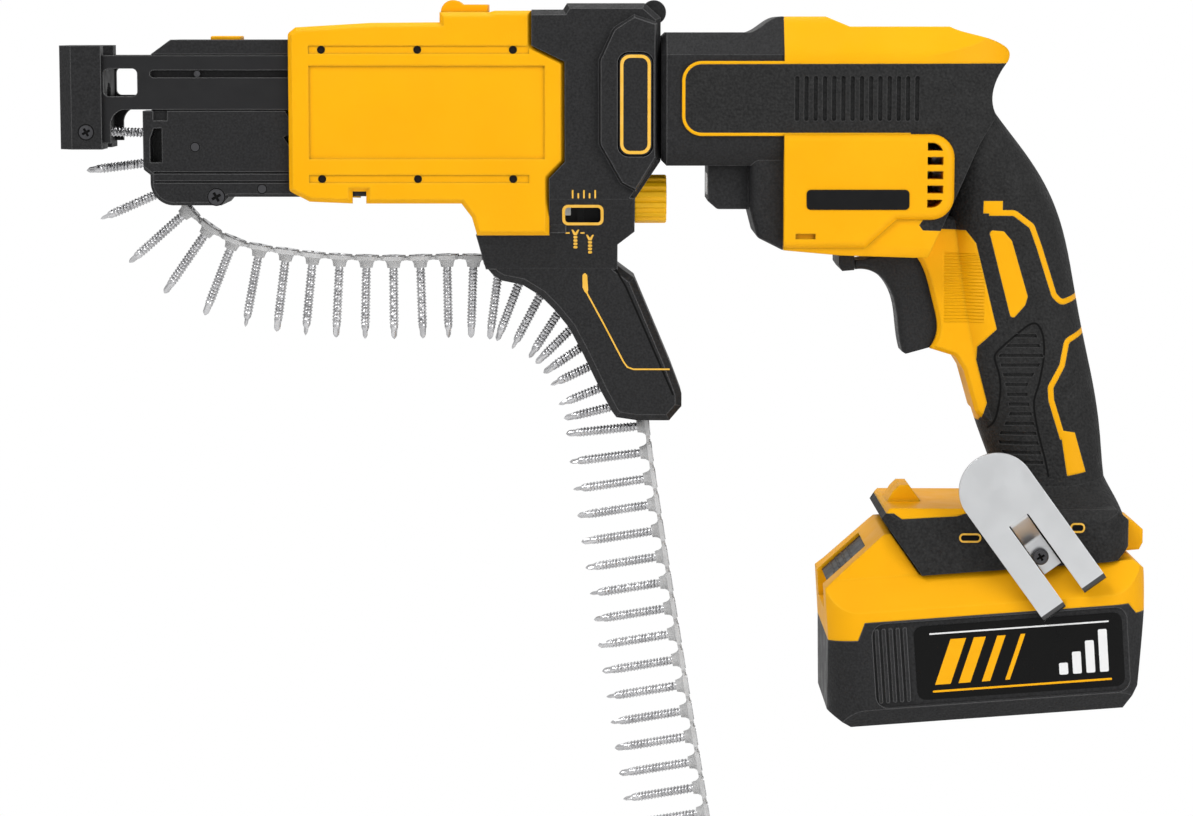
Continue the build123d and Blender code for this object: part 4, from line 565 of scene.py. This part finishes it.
coil = []
for step in range(TURN_STEPS * COIL_TURNS + 1):
    turn = step / TURN_STEPS
    share = min(max((turn - 1.0) / 8.0, 0.0), 1.0)
    closed = min(turn, 1.0) + max(turn - 9.0, 0.0)
    x = COIL_FRONT_X + WIRE_R * closed + share * (COIL_LONG - 2.0 * WIRE_R)
    angle = 2.0 * math.pi * turn
    coil.append(Vector((x, COIL_R * math.cos(angle), BIT_AXIS_Z + COIL_R * math.sin(angle))))
spring_wire = new_look("spring_wire", (0.5, 0.5, 0.51), 0.3, 1.0)
relief(spring_wire, cloud(spring_wire, 0.4), 0.01)
vary_rough(spring_wire, cloud(spring_wire, 2.0), 0.25, 0.4)
spring = show("return_spring_wire", tube(coil, WIRE_R), spring_wire, "frame", 60.0)
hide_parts("return_spring")
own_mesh(spring)


# Feeder
# Two black nylon halves on two steel pins and a cross-head screw, with the feed wheel and lever inside.
# A yellow button on top frees the nose plates so that the screw length can be set.
FEEDER_OUT = 18.5
wear(black_nylon, "feeder_left", "feeder_right", "feed_wheel")
wear(dark_steel, "feed_lever", "feeder_pins", "feeder_screws")
wear(yellow_nylon, "nose_button")
for far, side in SIDES:
    # Dark rings round the pins and the screw: painted shade in the gaps around them.
    gap_shades = []
    for x, z, r in ((-318.1, 76.7, 1.7), (-292.6, 60.7, 1.7), (-310.2, 57.6, 3.2)):
        gap_shades += [disc(x, z, r + 0.3), disc(x, z, r - 0.1)]
    raised("feeder_gap_shades_" + side, gap_shades, FEEDER_OUT, 0.03, painted_hole_shade, "feeder", far)
    cross_heads("feeder_screw_" + side, [(-310.2, 57.6, FEEDER_OUT)], 3.2, dark_steel, "feeder", far)


# Nose
# A black nylon cap with a slot for the screw, on two blackened steel plates that slide along the feeder.
black_plate = new_look("black_plate", (0.015, 0.015, 0.016), 0.42, 0.2, 0.25)
soft_edges(black_plate, 0.25)
relief(black_plate, cloud(black_plate, 0.4, 1.0, (0.2, 1.0, 1.0)), 0.02)
vary_rough(black_plate, cloud(black_plate, 5.0), 0.36, 0.5)
# Painted highlights along the edges of the plates.
painted_edge_highlights(black_plate, 0.5, (0.15, 0.15, 0.15))
# Painted shade in the creases of the plates.
painted_crease_shade(black_plate, 2.5, 0.25)
wear(black_plate, "nose_plate_left", "nose_plate_right")
wear(black_nylon, "nose_cap")
wear(dark_steel, "nose_screws")
NOSE_SCREW_X, NOSE_SCREW_Z = -359.5, 82.4
NOSE_OUT, NOSE_HEAD_OUT = 20.5, 20.1
for far, side in SIDES:
    # A dark ring round the nose screw: painted shade in the gap around it.
    gap_shade = [disc(NOSE_SCREW_X, NOSE_SCREW_Z, 3.2), disc(NOSE_SCREW_X, NOSE_SCREW_Z, 2.7)]
    raised("nose_gap_shade_" + side, gap_shade, NOSE_OUT, 0.03, painted_hole_shade, "nose", far)
    head = (NOSE_SCREW_X, NOSE_SCREW_Z, NOSE_HEAD_OUT)
    cross_heads("nose_screw_" + side, [head], 2.8, dark_steel, "nose", far)


# Strip of screws
# Zinc-plated drywall screws with bugle heads and coarse threads, held in collars of a pale plastic band.
# The first five go with the feeder, the loop below is built screw by screw where it lies, the tail hangs
# from the boot.
SCREW_LONG = 33.0
HEAD_R = 4.0
ROOT_R = 1.5
THREAD_R = 2.0
THREAD_PITCH = 1.3
THREAD_FROM, THREAD_LONG, THREAD_ROWS = 5.2, 23.4, 96


def strip_screws(node):
    bm = bmesh.new()
    bm.from_mesh(nodes[node].data)
    bmesh.ops.remove_doubles(bm, verts=bm.verts[:], dist=1e-6)
    left = set(bm.verts)
    found = []
    while left:
        stack = [left.pop()]
        got = []
        while stack:
            corner = stack.pop()
            got.append(corner.co[:])
            for edge in corner.link_edges:
                other = edge.other_vert(corner)
                if other in left:
                    left.discard(other)
                    stack.append(other)
        points = np.array(got)
        points -= [0.0, (points[:, 1].min() + points[:, 1].max()) / 2.0, 0.0]
        middle = points.mean(axis=0)
        way = np.linalg.svd(points - middle)[2][0]
        far = (points - middle) @ way
        spread = np.linalg.norm(points - middle - np.outer(far, way), axis=1)
        if spread[far > 0].max() > spread[far < 0].max():
            far = -far
        rim = points[far < far.min() + 0.0003]
        head = (rim.min(axis=0) + rim.max(axis=0)) / 2.0
        tip = points[far.argmax()]
        found.append((Vector(head), Vector(tip - head).normalized()))
    bm.free()
    return sorted(found, key=lambda screw: screw[0].x - screw[0].z)


def frame_at(head, way):
    axes = Matrix((Vector((-way.z, 0.0, way.x)), Vector((0.0, 1.0, 0.0)), way)).transposed()
    return Matrix.Translation(head) @ axes.to_4x4() @ Matrix.Scale(0.001, 4)


def ring(bm, at, deep, radii, start=-15.0):
    steps = len(radii)
    corners = []
    for step, r in enumerate(radii):
        turn = math.radians(start + 360.0 * step / steps)
        corners.append(bm.verts.new(at @ Vector((r * math.cos(turn), r * math.sin(turn), deep))))
    return corners


def skin_between(bm, one, two):
    for k in range(len(one)):
        bm.faces.new((one[k], one[k - 1], two[k - 1], two[k]))


POINT_TURNS = [math.radians(30.0 * step - 15.0) for step in range(12)]


def build_screw(bm, head, way, lean):
    at = frame_at(head, way) @ Matrix.Rotation(lean, 4, "Z")
    cross_loop = cross(0.0, 0.0, HEAD_R, 0.0)
    mouth = [bm.verts.new(at @ Vector((x, y, 0.0))) for x, y in cross_loop]
    floor = [bm.verts.new(at @ Vector((0.5 * x, 0.5 * y, 1.9))) for x, y in cross_loop]
    bm.faces.new(floor)
    skin_between(bm, floor, mouth)
    last = mouth
    bugle = ((0.0, HEAD_R), (0.5, HEAD_R), (1.3, 3.15), (2.2, 2.5), (3.2, 2.1), (4.2, 1.8), (5.0, ROOT_R))
    for deep, r in bugle:
        rim = ring(bm, at, deep, [r] * 12)
        skin_between(bm, last, rim)
        last = rim
    for row in range(THREAD_ROWS + 1):
        deep = THREAD_FROM + THREAD_LONG * row / THREAD_ROWS
        grow = min(1.0, row / 6.0, (THREAD_ROWS - row) / 10.0)
        radii = []
        for step in range(12):
            phase = (deep / THREAD_PITCH - step / 12.0) % 1.0
            ridge = max(0.0, 1.0 - abs(phase - 0.5) * 3.2)
            radii.append(ROOT_R + (THREAD_R - ROOT_R) * ridge * grow)
        rim = ring(bm, at, deep, radii)
        skin_between(bm, last, rim)
        last = rim
    for deep, wide, flat in ((29.2, 1.3, 1.3), (29.8, 1.45, 0.8), (31.6, 1.35, 0.7), (32.4, 0.8, 0.4)):
        radii = [wide * flat / math.hypot(flat * math.cos(t), wide * math.sin(t)) for t in POINT_TURNS]
        rim = ring(bm, at, deep, radii)
        skin_between(bm, last, rim)
        last = rim
    tip = bm.verts.new(at @ Vector((0.0, 0.0, SCREW_LONG)))
    for k in range(12):
        bm.faces.new((last[k], last[k - 1], tip))


def build_pad(bm, head, way):
    at = frame_at(head, way)
    outline = [(4.5, -5.0), (4.5, 5.0), (3.4, 6.2), (-3.4, 6.2), (-4.5, 5.0), (-4.5, -5.0), (-3.4, -6.2)]
    outline.append((3.4, -6.2))
    top = [bm.verts.new(at @ Vector((x, y, 0.3))) for x, y in outline]
    low = [bm.verts.new(at @ Vector((x, y, 1.9))) for x, y in outline]
    bm.faces.new(top)
    bm.faces.new(low[::-1])
    skin_between(bm, top, low)
    last = None
    for deep, r in ((1.8, 4.1), (2.3, 3.3), (3.2, 2.75), (5.0, 2.4), (5.0, 2.0), (4.0, 1.7)):
        rim = ring(bm, at, deep, [r] * 14)
        if last:
            skin_between(bm, last, rim)
        last = rim


def build_hinge(bm, one, two):
    ends = []
    for (head, way), reach in ((one, 4.3), (two, -4.3)):
        at = frame_at(head, way)
        loop = ((-4.8, 0.8), (4.8, 0.8), (4.8, 1.8), (-4.8, 1.8))
        ends.append([bm.verts.new(at @ Vector((reach, y, deep))) for y, deep in loop])
    skin_between(bm, ends[0], ends[1])


zinc = new_look("zinc", (0.55, 0.55, 0.56), 0.28, 1.0)
relief(zinc, cloud(zinc, 0.4), 0.01)
vary_rough(zinc, cloud(zinc, 2.0), 0.18, 0.34)
vary_colour(zinc, cloud(zinc, 6.0), (0.48, 0.48, 0.49), (0.62, 0.62, 0.63))
band_plastic = new_look("band_plastic", (0.50, 0.50, 0.50), 0.5)
relief(band_plastic, cloud(band_plastic, 0.5), 0.02)
vary_colour(band_plastic, cloud(band_plastic, 8.0), (0.46, 0.46, 0.46), (0.54, 0.54, 0.54))
vary_rough(band_plastic, cloud(band_plastic, 3.0), 0.42, 0.58)

front = strip_screws("strip_screws_front")
loop = strip_screws("strip_screws_run")
tail = strip_screws("strip_screws_tail")
STIFF_PARTS = (("front", front, "feeder"), ("tail", tail, "frame"))

FIRST_HOLE_X = -0.3318
LOOP_END_X = -0.207
LOOP_LONG = LOOP_END_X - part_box("strip_band_run")[0][0]
for part, screws, body in STIFF_PARTS:
    bm = bmesh.new()
    for count, (head, way) in enumerate(screws):
        build_screw(bm, head, way, 2.4 * count)
    bmesh.ops.recalc_face_normals(bm, faces=bm.faces[:])
    made = show("strip_screws_threaded_" + part, bm, zinc, body, 35.0)
    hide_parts("strip_screws_" + part)

for count, (head, way) in enumerate(loop):
    bm = bmesh.new()
    build_screw(bm, head, way, 1.7 * count)
    bmesh.ops.recalc_face_normals(bm, faces=bm.faces[:])
    made = show("strip_screw_loop_" + str(count + 1), bm, zinc, None, 35.0)
    share = min(max((LOOP_END_X - head.x) / LOOP_LONG, 0.0), 1.0)
    turn = 0.5 - math.sin(math.asin(1.0 - 2.0 * share) / 3.0)
    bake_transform(made)
    if count == 0:
        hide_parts("strip_screws_run")

for part, screws, body in STIFF_PARTS:
    bm = bmesh.new()
    for count, (head, way) in enumerate(screws):
        build_pad(bm, head, way)
        if count:
            build_hinge(bm, screws[count - 1], screws[count])
    if part == "front":
        at = frame_at(Vector((FIRST_HOLE_X, 0.0, BIT_AXIS_Z)), Vector((-1.0, 0.0, 0.0)))
        last = ring(bm, at, 0.3, [4.3] * 16)
        for deep, r in ((0.3, 6.0), (1.6, 6.0), (1.6, 4.3), (0.3, 4.3)):
            rim = ring(bm, at, deep, [r] * 16)
            skin_between(bm, last, rim)
            last = rim
        build_hinge(bm, (Vector((FIRST_HOLE_X, 0.0, 0.0937)), Vector((-1.0, 0.0, 0.0))), screws[0])
    bmesh.ops.recalc_face_normals(bm, faces=bm.faces[:])
    made = show("strip_band_pads_" + part, bm, band_plastic, body, 35.0)
    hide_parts("strip_band_" + part)
bm = bmesh.new()
for count, (head, way) in enumerate(loop):
    build_pad(bm, head, way)
    build_hinge(bm, loop[count - 1] if count else front[-1], loop[count])
build_hinge(bm, loop[-1], tail[0])
bmesh.ops.recalc_face_normals(bm, faces=bm.faces[:])
made = show("strip_band_pads_loop", bm, band_plastic, "frame", 35.0)
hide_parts("strip_band_run")
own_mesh(made)


# Belt hook
# One strap of bright spring steel, cut and bent, its tongue held to the foot by a black cross-head screw.
hook_steel = new_look("hook_steel", (0.62, 0.63, 0.64), 0.32, 1.0)
soft_edges(hook_steel, 0.3)
relief(hook_steel, cloud(hook_steel, 0.8, 2.0, (1.0, 1.0, 0.04)), 0.006)
vary_rough(hook_steel, cloud(hook_steel, 9.0), 0.28, 0.38)
# Painted shade: past a set reach along the hook the steel colour turns near-black, standing in for the
# shade on the downward-facing bent lips at its ends.
HOOK_WAY_X, HOOK_WAY_Z = 0.5878, -0.8090
SHADED_ENDS_FROM, SHADED_ENDS_SHARP = 0.0850, 2000.0
down = math_of(hook_steel, "MULTIPLY", along(hook_steel, "X"), HOOK_WAY_X)
fall = math_of(hook_steel, "MULTIPLY", along(hook_steel, "Z"), HOOK_WAY_Z)
reach = math_of(hook_steel, "ADD", down, fall)
ends = math_of(hook_steel, "MULTIPLY", math_of(hook_steel, "SUBTRACT", reach, SHADED_ENDS_FROM), SHADED_ENDS_SHARP)
ends = math_of(hook_steel, "ADD", ends, 0.0, True)
vary_colour(hook_steel, ends, (0.62, 0.63, 0.64), (0.08, 0.08, 0.08))
wear(hook_steel, "belt_hook")
wear(dark_steel, "belt_hook_screw")
cross_heads("hook_screw", [(5.9, -79.4, 36.0)], 2.7, dark_steel, "frame")


# Battery pack
# A yellow lid with slide rails over a black tray of cells, a black latch in the front slope.
# The printed label is a plain black panel with slanted bars, a charge scale and two thin lines.
wear(yellow_nylon, "battery_lid")
wear(black_nylon, "battery_tray")
wear(trigger_black, "battery_latch")
cell_wrap = new_look("cell_wrap", (0.05, 0.16, 0.30), 0.35)
relief(cell_wrap, cloud(cell_wrap, 3.0), 0.05)
wear(cell_wrap, "battery_cells")


PACK_LEAN = math.radians(4.2)
PACK_X, PACK_Z = -39.1, -87.3
LABEL_OUT, PRINT_OUT = 36.25, 36.45


def on_pack(loop):
    c, s = math.cos(PACK_LEAN), math.sin(PACK_LEAN)
    return [(PACK_X + u * c - v * s, PACK_Z + u * s + v * c) for u, v in loop]


def slanted(u0, u1, v0, v1, lean):
    return [(u0, v0), (u1, v0), (u1 + lean, v1), (u0 + lean, v1)]


label_black = new_look("label_black", (0.003, 0.003, 0.003), 0.3, shine=0.12)
relief(label_black, cloud(label_black, 0.4), 0.008)
vary_rough(label_black, cloud(label_black, 9.0), 0.24, 0.36)
label_yellow = new_look("label_yellow", (0.89, 0.41, 0.003), 0.35, shine=0.12)
vary_colour(label_yellow, cloud(label_yellow, 6.0), (0.87, 0.40, 0.003), (0.90, 0.42, 0.004))
relief(label_yellow, cloud(label_yellow, 0.4), 0.008)
label_white = new_look("label_white", (0.78, 0.78, 0.78), 0.35)
relief(label_white, cloud(label_white, 0.4), 0.008)
for far, side in SIDES:
    panel = [on_pack(rounded(-5.0, 75.0, -47.6, -18.8, 3.4))]
    raised("label_panel_" + side, panel, LABEL_OUT, 0.2, label_black, "pack", far)
    bars = [on_pack(slanted(2.0 + 9.0 * k, 8.0 + 9.0 * k - 1.4 * k, -42.0, -24.6, 7.0)) for k in range(4)]
    bars.append(on_pack(rounded(1.0, 70.0, -45.0, -44.2, 0.3, 2)))
    raised("label_bars_" + side, bars, PRINT_OUT, 0.03, label_yellow, "pack", far)
    steps = []
    for k in range(4):
        low, high = 50.0 + 5.2 * k, 53.4 + 5.2 * k
        steps.append(on_pack(rounded(low, high, -41.6, -37.0 + 4.0 * k, 0.5, 2)))
    steps.append(on_pack(rounded(1.0, 70.0, -22.4, -21.8, 0.2, 2)))
    raised("label_scale_" + side, steps, PRINT_OUT, 0.03, label_white, "pack", far)


# Stage
# A plain white floor under the strip, white all round for the camera, and soft studio light.
FLOOR_Z, FLOOR_HALF = -0.26, 6
floor_mesh = bpy.data.meshes.new("floor")
corners = [(-FLOOR_HALF, -FLOOR_HALF), (FLOOR_HALF, -FLOOR_HALF)]
corners += [(FLOOR_HALF, FLOOR_HALF), (-FLOOR_HALF, FLOOR_HALF)]
floor_mesh.from_pydata([(x, y, FLOOR_Z) for x, y in corners], [], [(0, 1, 2, 3)])
floor = bpy.data.objects.new("floor", floor_mesh)
bpy.context.scene.collection.objects.link(floor)
floor_look = new_look("floor_white", (0.9, 0.9, 0.9), 0.9)
floor_mesh.materials.append(floor_look)
white = add(floor_look, "Emission", {"Color": (1.0, 1.0, 1.0, 1.0), "Strength": 1.0})
seen = add(floor_look, "LightPath")
mix = add(floor_look, "MixShader", {0: seen.outputs["Is Camera Ray"]})
links = floor_look.node_tree.links
links.new(base_of(floor_look).outputs[0], mix.inputs[1])
links.new(white.outputs[0], mix.inputs[2])
links.new(mix.outputs[0], floor_look.node_tree.nodes["Material Output"].inputs["Surface"])

SOFT_LEVEL, GLOSS_LEVEL, SEEN_LEVEL = 0.30, 0.75, 1.0
world = bpy.data.worlds.new("white_room")
bpy.context.scene.world = world
world.use_nodes = True
sky = world.node_tree.nodes["Background"]
sky.inputs["Color"].default_value = (1.0, 1.0, 1.0, 1.0)
ray = world.node_tree.nodes.new("ShaderNodeLightPath")
level = world.node_tree.nodes.new("ShaderNodeMapRange")
level.inputs[3].default_value = SOFT_LEVEL
level.inputs[4].default_value = GLOSS_LEVEL
whole = world.node_tree.nodes.new("ShaderNodeMapRange")
whole.inputs[4].default_value = SEEN_LEVEL
world.node_tree.links.new(ray.outputs["Is Glossy Ray"], level.inputs[0])
world.node_tree.links.new(level.outputs[0], whole.inputs[3])
world.node_tree.links.new(ray.outputs["Is Camera Ray"], whole.inputs[0])
world.node_tree.links.new(whole.outputs[0], sky.inputs["Strength"])


def soft_light(name, at, toward, size, watts):
    lamp = bpy.data.lights.new(name, "AREA")
    lamp.size = size
    lamp.energy = watts
    holder = bpy.data.objects.new(name, lamp)
    bpy.context.scene.collection.objects.link(holder)
    holder.location = at
    holder.rotation_mode = "QUATERNION"
    holder.rotation_quaternion = (Vector(toward) - Vector(at)).to_track_quat("-Z", "Y")


MIDDLE = (-0.16, 0.0, 0.0)
soft_light("key_light", (-0.9, -1.0, 1.3), MIDDLE, 0.8, 17.0)
soft_light("fill_light", (0.9, -1.2, 0.5), MIDDLE, 1.0, 12.0)
soft_light("top_light", (-0.1, 0.3, 1.4), MIDDLE, 0.8, 10.0)

LENS_AWAY = 1.3
LENS_RISE = math.radians(6.5)
LENS_OPEN = math.radians(20.4)
FILM_WIDE = 36.0
LOOK_AT = Vector((-0.1643, 0.0, -0.0260))
camera = bpy.data.cameras.new("camera")
camera.sensor_width = FILM_WIDE
camera.lens = FILM_WIDE / (2.0 * math.tan(LENS_OPEN / 2.0))
camera_holder = bpy.data.objects.new("camera", camera)
bpy.context.scene.collection.objects.link(camera_holder)
camera_holder.location = LOOK_AT + LENS_AWAY * Vector((0.0, -math.cos(LENS_RISE), math.sin(LENS_RISE)))
camera_holder.rotation_mode = "QUATERNION"
camera_holder.rotation_quaternion = (LOOK_AT - camera_holder.location).to_track_quat("-Z", "Y")
bpy.context.scene.camera = camera_holder
bpy.context.scene.view_settings.view_transform = "Standard"
